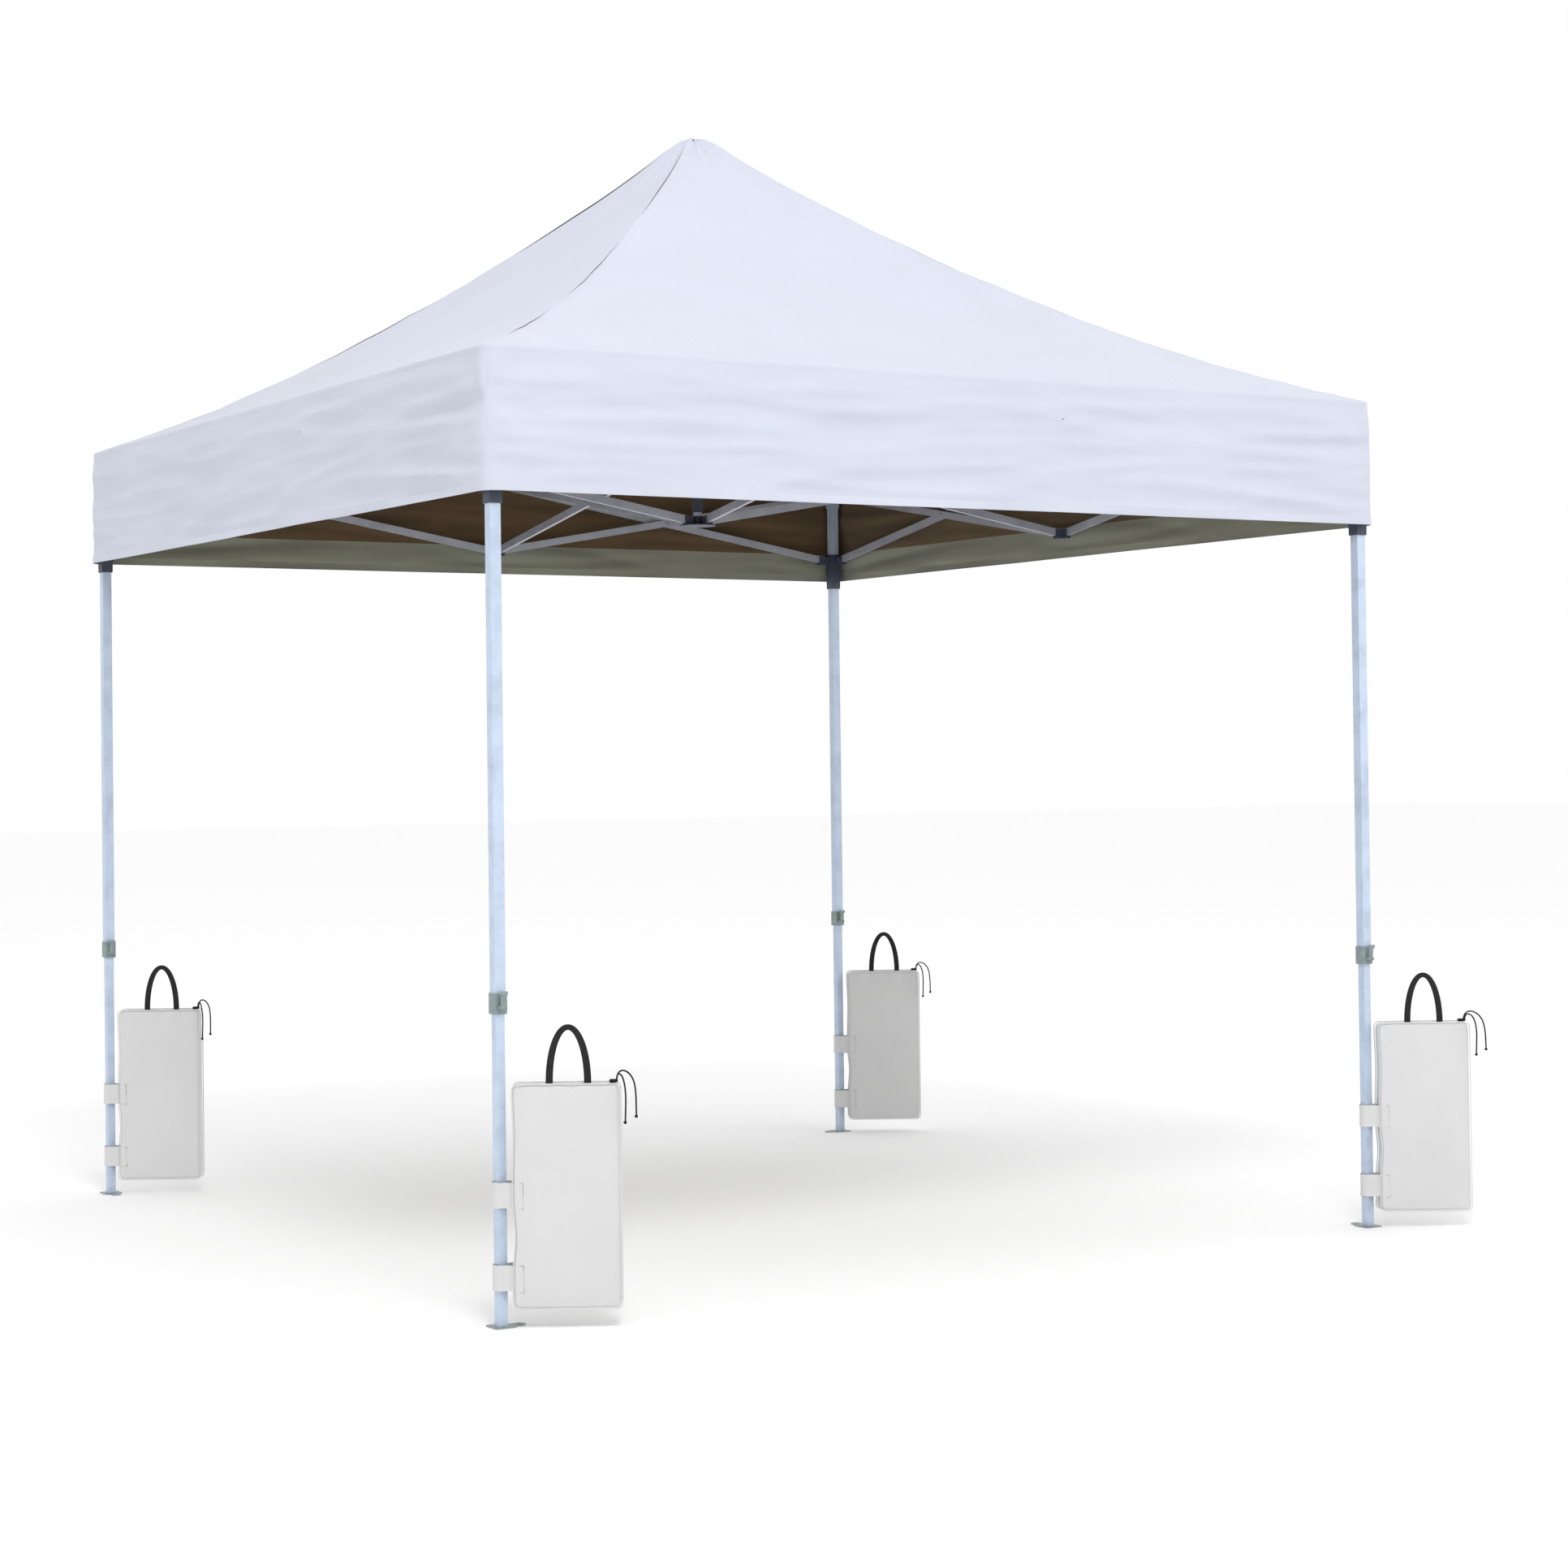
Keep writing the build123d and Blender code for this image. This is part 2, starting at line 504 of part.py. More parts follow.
upper_mid, lower_mid = mid_bracket(True), mid_bracket(False)
fall, climb = central_bar("fall"), central_bar("rise")
for side, turn in SIDES.items():
    save(f"upper_bracket_{side}", upper_mid, turn)
    save(f"lower_bracket_{side}", lower_mid, turn)
    save(f"hub_bar_down_{side}", fall, turn)
    save(f"hub_bar_up_{side}", climb, turn)
    for hand, end in ((-1, "left"), (1, "right")):
        save(f"bar_up_{side}_{end}", perimeter_bar(hand, "rise"), turn)
        save(f"bar_down_{side}_{end}", perimeter_bar(hand, "fall"), turn)

for corner, turn in CORNERS.items():
    leg_at = Vector(HALF_SPAN, -HALF_SPAN, 0).rotate(Axis.Z, turn)
    save(f"outer_leg_{corner}", outer_leg(turn), shift=leg_at)
    save(f"slider_{corner}", slider().rotate(Axis.Z, turn), shift=leg_at)
    save(f"inner_leg_{corner}", inner_leg(turn), shift=leg_at)
    save(f"lock_lever_{corner}", lock_lever(), shift=leg_at)
    save(f"weight_bag_{corner}", weight_bag(), shift=leg_at)
    save(f"bag_ties_{corner}", bag_ties(), shift=leg_at)
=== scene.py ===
"""Pop up canopy: its cover, weight bags, tie cords and finishes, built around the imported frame."""

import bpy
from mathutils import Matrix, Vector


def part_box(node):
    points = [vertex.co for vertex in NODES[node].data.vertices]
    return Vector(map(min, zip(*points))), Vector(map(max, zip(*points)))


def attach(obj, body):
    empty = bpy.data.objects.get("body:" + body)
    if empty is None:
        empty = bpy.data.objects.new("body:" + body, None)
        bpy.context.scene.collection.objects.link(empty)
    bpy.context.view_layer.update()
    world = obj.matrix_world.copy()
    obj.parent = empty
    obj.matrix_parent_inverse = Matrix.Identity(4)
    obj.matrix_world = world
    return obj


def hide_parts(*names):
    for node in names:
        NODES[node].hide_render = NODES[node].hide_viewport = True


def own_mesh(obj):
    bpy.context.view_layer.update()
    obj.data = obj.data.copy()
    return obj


bl_info = {
    "name": "Pop Up Canopy",
    "version": (1, 0, 0),
    "blender": (4, 5, 0),
    "location": "3D View > Sidebar > Canopy",
    "description": "Builds the cover, weight bags, ties and finishes of a folding pop up canopy",
    "category": "Object",
}

from math import atan2, ceil, cos, exp, hypot, pi, radians, sin, tau

import bmesh
import bpy
import numpy as np
from mathutils import Matrix, Vector, noise

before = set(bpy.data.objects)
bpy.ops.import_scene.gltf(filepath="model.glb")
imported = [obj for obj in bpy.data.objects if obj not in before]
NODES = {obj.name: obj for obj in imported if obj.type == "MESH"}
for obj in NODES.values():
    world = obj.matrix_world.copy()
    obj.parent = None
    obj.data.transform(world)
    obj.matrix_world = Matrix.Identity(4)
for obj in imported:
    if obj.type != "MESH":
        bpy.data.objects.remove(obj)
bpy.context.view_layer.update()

SIDES = {"south": 0, "east": 1, "north": 2, "west": 3}  # quarter turns from the south side
CORNERS = {"se": (1, -1), "ne": (1, 1), "nw": (-1, 1), "sw": (-1, -1)}
COVER_LOW, COVER_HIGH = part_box("canopy_cover")
HALF_SPAN = 1.455  # leg centre to the middle of the frame
BAG_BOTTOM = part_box("weight_bag_se")[0].z


# ---------------------------------------------------------------- settings
class CoverSettings(bpy.types.PropertyGroup):
    """Sizes and colours of the cover."""

    eave: bpy.props.FloatProperty(
        name="Eave height",
        description="Top edge of the valance",
        default=2.48,
        unit="LENGTH",
    )
    sag: bpy.props.FloatProperty(
        name="Hip sag",
        description="How far a hip hangs at its middle",
        default=0.10,
        unit="LENGTH",
    )
    belly: bpy.props.FloatProperty(
        name="Panel belly",
        description="How far a panel hangs between its hips",
        default=0.020,
        unit="LENGTH",
    )
    corner: bpy.props.FloatProperty(
        name="Corner radius",
        description="Rounding of the roof's corners",
        default=0.030,
        unit="LENGTH",
    )
    crease: bpy.props.FloatProperty(
        name="Creases",
        description="Depth of the valance creases",
        default=0.0070,
        unit="LENGTH",
    )
    thickness: bpy.props.FloatProperty(
        name="Thickness",
        description="Thickness of the coated cloth",
        default=0.0012,
        unit="LENGTH",
    )
    outside: bpy.props.FloatVectorProperty(
        name="Outside",
        description="Colour of the outer face",
        subtype="COLOR",
        default=(0.56, 0.585, 0.675),
    )
    # Painted shade: the roof's inner face is the same cloth as the outside, and this dark brown stands in for
    # the shade under the roof.
    inside: bpy.props.FloatVectorProperty(
        name="Roof inside",
        description="Colour of the roof's inner face",
        subtype="COLOR",
        default=(0.10, 0.062, 0.028),
    )
    # Painted shade: this dim grey-green on the lowest rows of the valance's inner face stands in for the
    # shade inside the valance.
    hem_inside_shade: bpy.props.FloatVectorProperty(
        name="Hem inside",
        description="Colour of the valance's inner facing",
        subtype="COLOR",
        default=(0.22, 0.225, 0.175),
    )


class BagSettings(bpy.types.PropertyGroup):
    """Sizes and colours of the weight bags and their ties."""

    heading: bpy.props.FloatProperty(
        name="Heading",
        description="From the leg to its bag",
        default=radians(-30.4),
        subtype="ANGLE",
    )
    edge: bpy.props.FloatProperty(
        name="Near edge",
        description="Leg centre to the bag",
        default=0.030,
        unit="LENGTH",
    )
    width: bpy.props.FloatProperty(
        name="Width",
        description="Width of the case",
        default=0.280,
        unit="LENGTH",
    )
    height: bpy.props.FloatProperty(
        name="Height",
        description="Height of the case",
        default=0.570,
        unit="LENGTH",
    )
    depth: bpy.props.FloatProperty(
        name="Depth",
        description="Depth of the filled case",
        default=0.085,
        unit="LENGTH",
    )
    puff: bpy.props.FloatProperty(
        name="Puff",
        description="Most that the filling moves the cloth",
        default=0.012,
        unit="LENGTH",
    )
    cord: bpy.props.FloatProperty(
        name="Tie radius",
        description="Radius of the tie cords",
        default=0.0022,
        unit="LENGTH",
    )
    cloth: bpy.props.FloatVectorProperty(
        name="Cloth",
        description="Colour of the case",
        subtype="COLOR",
        default=(0.63, 0.63, 0.63),
    )
    webbing: bpy.props.FloatVectorProperty(
        name="Webbing",
        description="Colour of handle and ties",
        subtype="COLOR",
        default=(0.006, 0.006, 0.007),
    )


class FrameSettings(bpy.types.PropertyGroup):
    """Colours of the frame's metal and nylon."""

    leg: bpy.props.FloatVectorProperty(
        name="Legs",
        description="Powder coat of the legs",
        subtype="COLOR",
        default=(0.50, 0.59, 0.73),
    )
    truss: bpy.props.FloatVectorProperty(
        name="Truss",
        description="Powder coat of the truss bars",
        subtype="COLOR",
        default=(0.42, 0.44, 0.50),
    )
    collar: bpy.props.FloatVectorProperty(
        name="Collars",
        description="Moulded leg collars",
        subtype="COLOR",
        default=(0.24, 0.30, 0.30),
    )
    navy: bpy.props.FloatVectorProperty(
        name="Brackets",
        description="Moulded brackets and sliders",
        subtype="COLOR",
        default=(0.045, 0.055, 0.085),
    )
    sole: bpy.props.FloatVectorProperty(
        name="Soles",
        description="Zinc plated sole plates",
        subtype="COLOR",
        default=(0.32, 0.35, 0.35),
    )


class StageSettings(bpy.types.PropertyGroup):
    """Camera, floor and light."""

    place: bpy.props.FloatVectorProperty(
        name="Camera",
        description="Camera place",
        subtype="XYZ",
        default=(-4.893, -8.343, 1.414),
    )
    aim: bpy.props.FloatVectorProperty(
        name="Aim",
        description="Point the camera looks at",
        subtype="XYZ",
        default=(0.0, 0.0, 1.5616),
    )
    lens: bpy.props.FloatProperty(name="Lens", description="Focal length", default=69.7)
    floor: bpy.props.FloatVectorProperty(
        name="Floor",
        description="Colour of the floor",
        subtype="COLOR",
        default=(0.97, 0.97, 0.97),
    )
    sky: bpy.props.FloatProperty(name="Fill", description="Strength of the soft fill light", default=1.0)
    key: bpy.props.FloatProperty(name="Key", description="Power of the key light", default=330.0)


# ---------------------------------------------------------------- materials
def new_material(name, colour, rough, metal=0.0, specular=0.4):
    """A Principled material with its uniform values on the shader's own sockets."""
    made = bpy.data.materials.new(name)
    made.use_nodes = True
    shader = made.node_tree.nodes["Principled BSDF"]
    shader.inputs["Base Color"].default_value = (*colour, 1)
    shader.inputs["Roughness"].default_value = rough
    shader.inputs["Metallic"].default_value = metal
    shader.inputs["Specular IOR Level"].default_value = specular
    made.diffuse_color = (*colour, 1)
    return made, made.node_tree, shader


def object_point(tree):
    """The place of a point in its object's own space, so a pattern keeps its real scale."""
    return tree.nodes.new("ShaderNodeTexCoord").outputs["Object"]


def noise_node(tree, point, scale, detail=4.0, rough=0.55):
    made = tree.nodes.new("ShaderNodeTexNoise")
    made.inputs["Scale"].default_value = scale
    made.inputs["Detail"].default_value = detail
    made.inputs["Roughness"].default_value = rough
    tree.links.new(point, made.inputs["Vector"])
    return made.outputs["Fac"]


def math_node(tree, operation, first, second):
    made = tree.nodes.new("ShaderNodeMath")
    made.operation = operation
    for socket, value in zip(made.inputs, (first, second)):
        if isinstance(value, (int, float)):
            socket.default_value = value
        else:
            tree.links.new(value, socket)
    return made.outputs[0]


def ramp_node(tree, factor, stops):
    """A colour ramp through (position, colour) stops."""
    made = tree.nodes.new("ShaderNodeValToRGB")
    elements = made.color_ramp.elements
    while len(elements) < len(stops):
        elements.new(0.5)
    for element, (place, colour) in zip(elements, stops):
        element.position = place
        element.color = (*colour, 1)
    tree.links.new(factor, made.inputs["Fac"])
    return made.outputs["Color"]


def bump(tree, shader, height, distance, strength=1.0):
    made = tree.nodes.new("ShaderNodeBump")
    made.inputs["Distance"].default_value = distance
    made.inputs["Strength"].default_value = strength
    tree.links.new(height, made.inputs["Height"])
    tree.links.new(made.outputs["Normal"], shader.inputs["Normal"])


def weave_height(tree, point, pitch):
    """Plain weave: two sets of threads crossing, over the three directions of the cloth."""
    parts = tree.nodes.new("ShaderNodeSeparateXYZ")
    tree.links.new(point, parts.inputs[0])
    across = math_node(tree, "ADD", parts.outputs["X"], parts.outputs["Y"])
    rate = tau / pitch
    warp = math_node(tree, "SINE", math_node(tree, "MULTIPLY", across, rate), 0.0)
    weft = math_node(tree, "SINE", math_node(tree, "MULTIPLY", parts.outputs["Z"], rate), 0.0)
    return math_node(tree, "MULTIPLY", warp, weft)


def shade(colour, factor):
    return tuple(min(1.0, c * factor) for c in colour)


THREAD_SHARE = 0.10  # of the cloth's relief, against its rumples


def cloth_material(name, colour, pitch, cloudy=0.03, rough=0.72):
    """Coated woven polyester: thread relief, faint handling marks and a soft sheen."""
    made, tree, shader = new_material(name, colour, rough, specular=0.3)
    point = object_point(tree)
    marks = noise_node(tree, point, 3.2, 6.0)
    tone = ramp_node(tree, marks, [(0.3, shade(colour, 1 - cloudy)), (0.7, shade(colour, 1 + cloudy))])
    tree.links.new(tone, shader.inputs["Base Color"])
    threads = weave_height(tree, point, pitch)
    rumple = noise_node(tree, point, 26.0, 3.0)
    height = math_node(tree, "ADD", math_node(tree, "MULTIPLY", threads, THREAD_SHARE), rumple)
    bump(tree, shader, height, 0.0012, 0.55)
    roughness = tree.nodes.new("ShaderNodeMapRange")
    roughness.inputs["To Min"].default_value = rough - 0.06
    roughness.inputs["To Max"].default_value = rough + 0.08
    tree.links.new(marks, roughness.inputs["Value"])
    tree.links.new(roughness.outputs[0], shader.inputs["Roughness"])
    shader.inputs["Sheen Weight"].default_value = 0.15
    shader.inputs["Sheen Roughness"].default_value = 0.5
    return made


def coated_metal(name, colour, metal=0.35, rough=0.38):
    """Powder coated or plated metal: fine orange peel, handling scuffs and slightly rubbed tone."""
    made, tree, shader = new_material(name, colour, rough, metal)
    point = object_point(tree)
    scuffs = noise_node(tree, point, 14.0, 8.0, 0.65)
    tone = ramp_node(tree, scuffs, [(0.32, shade(colour, 0.86)), (0.5, colour), (0.72, shade(colour, 1.10))])
    tree.links.new(tone, shader.inputs["Base Color"])
    peel = noise_node(tree, point, 900.0, 2.0)
    bump(tree, shader, peel, 0.0002, 0.35)
    finish = tree.nodes.new("ShaderNodeMapRange")
    finish.inputs["To Min"].default_value = rough - 0.08
    finish.inputs["To Max"].default_value = rough + 0.14
    tree.links.new(scuffs, finish.inputs["Value"])
    tree.links.new(finish.outputs[0], shader.inputs["Roughness"])
    return made


def moulded_nylon(name, colour, rough=0.5):
    """Glass filled nylon: spark grain, cloudy flow marks and paler rubbed patches."""
    made, tree, shader = new_material(name, colour, rough)
    point = object_point(tree)
    flow = noise_node(tree, point, 38.0, 5.0)
    tone = ramp_node(tree, flow, [(0.3, shade(colour, 0.82)), (0.55, colour), (0.75, shade(colour, 1.25))])
    tree.links.new(tone, shader.inputs["Base Color"])
    grain = noise_node(tree, point, 1600.0, 3.0, 0.6)
    bump(tree, shader, grain, 0.00025, 0.6)
    return made


def webbing_material(name, colour):
    """Woven polypropylene webbing: coarse ribs across the band."""
    made, tree, shader = new_material(name, colour, 0.68, specular=0.35)
    point = object_point(tree)
    ribs = weave_height(tree, point, 0.0022)
    fuzz = noise_node(tree, point, 420.0, 3.0)
    tone = ramp_node(tree, fuzz, [(0.3, shade(colour, 0.7)), (0.7, shade(colour, 2.1))])
    tree.links.new(tone, shader.inputs["Base Color"])
    bump(tree, shader, math_node(tree, "ADD", ribs, fuzz), 0.0005, 0.7)
    return made


# ---------------------------------------------------------------- mesh helpers
def link(name, data, body):
    """A new piece of the canopy, riding on a body."""
    piece = bpy.data.objects.new(name, data)
    bpy.context.scene.collection.objects.link(piece)
    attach(piece, body)
    return piece


def quarter_turn(points, turns):
    """Points turned about Z by a number of quarter turns."""
    c, s = ((1, 0), (0, 1), (-1, 0), (0, -1))[turns % 4]
    points = np.asarray(points, float)
    x, y = points[..., 0], points[..., 1]
    return np.stack([c * x - s * y, s * x + c * y, points[..., 2]], -1)


def grid_normals(points):
    """Unit normals of a grid of points, rows up and columns to the right as seen from outside."""
    along = np.gradient(points, axis=1)
    up = np.gradient(points, axis=0)
    normals = np.cross(along, up)
    return normals / np.maximum(np.linalg.norm(normals, axis=2, keepdims=True), 1e-12)


def cloth_mesh(name, outer, normals, thickness, materials, facing=0):
    """A closed thin sheet over a grid: outer face in the first material, inner face in the second.

    The lowest facing rows of the inner face take the last material.
    """
    rows, columns = outer.shape[:2]
    inner = outer - normals * thickness
    count = rows * columns
    vertices = np.concatenate([outer.reshape(-1, 3), inner.reshape(-1, 3)])
    index = np.arange(count).reshape(rows, columns)
    a, b = index[:-1, :-1].ravel(), index[:-1, 1:].ravel()
    c, d = index[1:, 1:].ravel(), index[1:, :-1].ravel()
    front = np.stack([a, b, c, d], 1)
    back = np.stack([d, c, b, a], 1) + count
    loop = np.concatenate([index[0, :-1], index[:-1, -1], index[-1, :0:-1], index[:0:-1, 0]])
    following = np.roll(loop, -1)
    rim = np.stack([following, loop, loop + count, following + count], 1)
    faces = np.concatenate([front, back, rim])
    mesh = bpy.data.meshes.new(name)
    mesh.from_pydata(vertices.tolist(), [], faces.tolist())
    for material in materials:
        mesh.materials.append(material)
    slots = np.zeros(len(faces), np.int32)
    slots[len(front) : 2 * len(front)] = 1
    slots[len(front) : len(front) + facing * (columns - 1)] = len(materials) - 1
    mesh.polygons.foreach_set("material_index", slots)
    mesh.polygons.foreach_set("use_smooth", np.ones(len(faces), bool))
    outward = normals.reshape(-1, 3)
    mesh.normals_split_custom_set_from_vertices(np.concatenate([outward, -outward]).tolist())
    return mesh


def mesh_from(name, vertices, faces, materials, smooth=radians(40)):
    mesh = bpy.data.meshes.new(name)
    mesh.from_pydata([tuple(v) for v in vertices], [], faces)
    for material in materials:
        mesh.materials.append(material)
    mesh.polygons.foreach_set("use_smooth", np.ones(len(mesh.polygons), bool))
    mesh.set_sharp_from_angle(angle=smooth)
    return mesh


def loft_rings(rings, closed=False, capped=True):
    """Faces that join rings of points. Returns vertices and faces."""
    size = len(rings[0])
    vertices = [p for ring in rings for p in ring]
    faces = []
    spans = len(rings) if closed else len(rings) - 1
    for i in range(spans):
        j = (i + 1) % len(rings)
        for k in range(size):
            n = (k + 1) % size
            faces.append((i * size + k, i * size + n, j * size + n, j * size + k))
    if capped and not closed:
        faces.append(tuple(range(size))[::-1])
        faces.append(tuple((len(rings) - 1) * size + k for k in range(size)))
    return vertices, faces


def soft_noise(point, scale, seed=0.0):
    """Smooth repeatable noise from -1 to 1."""
    return noise.noise(Vector(point) * scale + Vector((seed, seed * 1.7, seed * 0.6)))


# ---------------------------------------------------------------- cover
HEM = 0.022
SEAM = 0.011
ROOF_ROWS = 40
ROOF_COLUMNS = 34
VALANCE_COLUMNS = 170
VALANCE_ROWS = 30
SHADED_HEM_ROWS = 10  # rows of the inner face, up from the hem, painted in the darker shade colour
PEAK_PATCH = 0.030
PEAK_FOLDS = 13  # gathers round the peak
GATHER_DEPTH = 0.0075
RIPPLE_DEPTH = 0.0045
PUCKER_DEPTH = 0.0024
HIP_PULL = 0.0035
EAVE_ROUND = 0.012  # rounding that fades evenly up the hips
VALANCE_CORNER = 0.026  # lets the valance clear the leg sliders


def level_point(half, radius, place):
    """A point on one rounded square level of the south side. place is the distance from the side's middle."""
    straight = half - radius
    sign = 1 if place >= 0 else -1
    reach = abs(place)
    if reach <= straight:
        return sign * reach, -half, 0.0
    angle = (reach - straight) / max(radius, 1e-9)
    return sign * (straight + radius * sin(angle)), -straight - radius * cos(angle), sign * angle


def half_girth(half, radius):
    """From the middle of a side to its corner's middle, round the corner."""
    return half - radius + radius * pi / 4


def roof_height(cover, share):
    rise = COVER_HIGH.z - cover.eave
    return cover.eave + rise * share - 4 * cover.sag * share * (1 - share)


def roof_relief(cover, x, y, z, share, across):
    """How far the cloth stands off the plain roof, along Z: belly, eave pucker, hip pull and gathers."""
    bulge = -cover.belly * 4 * share * (1 - share) * (1 - across**2)
    reach = hypot(x, y)
    angle = atan2(y, x)
    folds = sin(PEAK_FOLDS * angle + 4 * soft_noise((x, y, z), 5.0, 3.0))
    gather = GATHER_DEPTH * exp(-((reach - 0.10) / 0.085) ** 2) * folds
    ripple = RIPPLE_DEPTH * soft_noise((x, y, z), 2.1, 1.0) * min(1.0, share * 9)
    near_eave = exp(-(share / 0.10) ** 2) * min(1.0, share * 40)
    pull = PUCKER_DEPTH * soft_noise((x * 9, y * 9, z), 0.75, 7.0) * near_eave
    near_hip = exp(-((1 - abs(across)) / 0.05) ** 2) * min(1.0, share * 12)
    hip = HIP_PULL * soft_noise((reach * 16, 0.3, 0.2), 1.0, 5.0) * near_hip
    return bulge + gather * min(1.0, share * 4) + ripple + pull + hip


def roof_grid(cover):
    """The south roof panel: rows from the eave to the peak, columns from its left hip to its right."""
    half = COVER_HIGH.x
    shares = [i / ROOF_ROWS for i in range(ROOF_ROWS + 1)]
    shares = [0.0, 0.004, 0.0075] + shares[1:]
    rows = []
    for share in shares:
        level = half + (PEAK_PATCH - half) * share
        radius = cover.corner * (1 - share) ** 3 + EAVE_ROUND * (1 - share)
        girth = half_girth(level, radius)
        offsets = [0.0, min(SEAM, girth * 0.1), min(SEAM * 1.25, girth * 0.13)]
        inner = girth - offsets[-1]
        side = [inner * (i / ROOF_COLUMNS) for i in range(ROOF_COLUMNS + 1)] + [girth - offsets[1], girth]
        places = [-p for p in side[:0:-1]] + side
        row = []
        for place in places:
            x, y, _ = level_point(level, radius, place)
            z = roof_height(cover, share)
            across = place / girth
            z += roof_relief(cover, x, y, z, share, across)
            if girth - abs(place) < offsets[1] * 1.02 and 0.003 < share:
                z += 0.0016
            row.append((x, y, z))
        rows.append(row)
    tip = [(x * k, y * k, z + 0.004 * (1 - k)) for k in (0.5, 0.03) for x, y, z in rows[-1]]
    size = len(rows[0])
    rows += [tip[:size], tip[size:]]
    return np.array(rows)


def valance_relief(cover, place, height, drop, girth):
    """How far the valance stands out: long level wrinkles, corner creases and a slack hem."""
    to_corner = girth - abs(place)
    up = height / drop
    level = 0.32 - abs(soft_noise((place * 1.3 + height * 0.8, 0.0, height * 13), 1.0, 11.0))
    level += 0.25 - 0.6 * abs(soft_noise((place * 2.3 - height * 3, 0.0, height * 19), 1.0, 17.0))
    amount = level * cover.crease * 2.6
    reach = hypot(to_corner - 0.005, height - 0.60 * drop) + 1e-6
    bearing = atan2(height - 0.60 * drop, to_corner - 0.005)
    rays = sin(bearing * 5.0 + 1.5 * soft_noise((place, height, 0), 4.0, 4.0))
    amount += cover.crease * 0.5 * rays * exp(-(((reach - 0.115) / 0.065) ** 2))
    amount += 0.006 * soft_noise((place * 1.4, 0.0, 0.0), 1.0, 23.0) * (1 - up) ** 2
    return amount * min(1.0, (1 - up) * 7) * min(1.0, to_corner * 30)


def valance_grid(cover):
    """The south valance: rows from the hem up to the eave, columns from its left corner to its right."""
    half, low = COVER_HIGH.x, COVER_LOW.z
    drop = cover.eave - low
    eave_radius = cover.corner + EAVE_ROUND
    heights = [0.0, 0.0015, HEM, HEM + 0.0025]
    heights += [HEM + 0.0025 + (drop - HEM - 0.0145) * (i / VALANCE_ROWS) for i in range(1, VALANCE_ROWS + 1)]
    heights += [drop - 0.0095, drop - 0.001, drop]
    spread = [2 * i / VALANCE_COLUMNS - 1 for i in range(VALANCE_COLUMNS + 1)]
    places = [s + 0.24 * sin(pi * s) for s in spread]
    rows = []
    for i, height in enumerate(heights):
        upper = min(1.0, max(0.0, (height / drop - 0.6) / 0.4))
        radius = VALANCE_CORNER + (eave_radius - VALANCE_CORNER) * upper**2
        girth = half_girth(half, radius)
        row = []
        for place in places:
            x, y, angle = level_point(half, radius, place * girth)
            out = valance_relief(cover, place * girth, height, drop, girth)
            out += 0.0012 if i in (1, 2) or i >= len(heights) - 3 and i < len(heights) - 1 else 0.0
            row.append((x + out * sin(angle), y - out * cos(angle), low + height))
        rows.append(row)
    return np.array(rows)


class CANOPY_OT_cover(bpy.types.Operator):
    """Build the roof panels and the valances"""

    bl_idname = "canopy.cover"
    bl_label = "Cover"

    def execute(self, context):
        cover = context.scene.canopy_cover
        outside = cloth_material("canopy_cloth", cover.outside, 0.0011, 0.022)
        # Painted shade: the roof's dark inner colour stands in for the shade under the roof.
        inside = cloth_material("canopy_cloth_inside_shade", cover.inside, 0.0011, 0.10, 0.8)
        # Painted shade: the darker colour on the valance's inner face near the hem stands in for the shade
        # inside the valance.
        hem_inside_shade = cloth_material("valance_cloth_inside_shade", cover.hem_inside_shade, 0.0011, 0.08, 0.8)
        roof, valance = roof_grid(cover), valance_grid(cover)
        roof_normals, valance_normals = grid_normals(roof), grid_normals(valance)
        middle = roof.shape[1] // 2
        for side, turns in SIDES.items():
            bracket = f"upper_bracket_{side}"
            points, normals = quarter_turn(valance, turns), quarter_turn(valance_normals, turns)
            cloths = [outside, inside, hem_inside_shade]
            mesh = cloth_mesh(f"valance_{side}", points, normals, cover.thickness, cloths, SHADED_HEM_ROWS)
            piece = link(f"valance_{side}", mesh, bracket)
            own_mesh(piece)
            for end, cut in (("left", slice(0, middle + 1)), ("right", slice(middle, None))):
                points = quarter_turn(roof[:, cut], turns)
                normals = quarter_turn(roof_normals[:, cut], turns)
                mesh = cloth_mesh(f"roof_{side}_{end}", points, normals, cover.thickness, [outside, inside])
                piece = link(f"roof_{side}_{end}", mesh, f"bar_up_{side}_{end}")
                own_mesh(piece)
                if side == "south" and end == "left":
                    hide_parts("canopy_cover")
        return {"FINISHED"}


# ---------------------------------------------------------------- weight bags
STRAP_MIDDLES = (0.282, 0.490)  # below the bag's top
STRAP_HEIGHT = 0.065
HANDLE_ALONG = 0.146
HANDLE_WIDTH = 0.115
HANDLE_RISE = 0.147
HANDLE_BAND = 0.018
HANDLE_DEEP = 0.008
SIM_FRAMES = 20
SIM_VOXEL = 0.0075
FILL_PRESSURE = 14.0
RIM = 0.013  # width of the held rim
CASE_CORNER = 0.017
CASE_EDGE = 0.062  # depth of the case at its piped edges


def bag_place(bag, corner):
    """The move from a bag drawn along +X at the origin to its place beside a leg."""
    x, y = CORNERS[corner]
    return Matrix.Translation((x * HALF_SPAN, y * HALF_SPAN, 0)) @ Matrix.Rotation(bag.heading, 4, "Z")


def case_outline(bag, inset=0.0, count=10):
    """The case's outline in its own XZ plane: a rounded rectangle."""
    low, high = BAG_BOTTOM + inset, BAG_BOTTOM + bag.height - inset
    left, right = bag.edge + inset, bag.edge + bag.width - inset
    radius = CASE_CORNER - inset * 0.5
    points = []
    x0, x1, z0, z1 = left + radius, right - radius, low + radius, high - radius
    for k, (cx, cz) in enumerate(((x1, z0), (x1, z1), (x0, z1), (x0, z0))):
        for i in range(count + 1):
            angle = (k - 1) * pi / 2 + i / count * pi / 2
            points.append((cx + radius * cos(angle), cz + radius * sin(angle)))
    return points


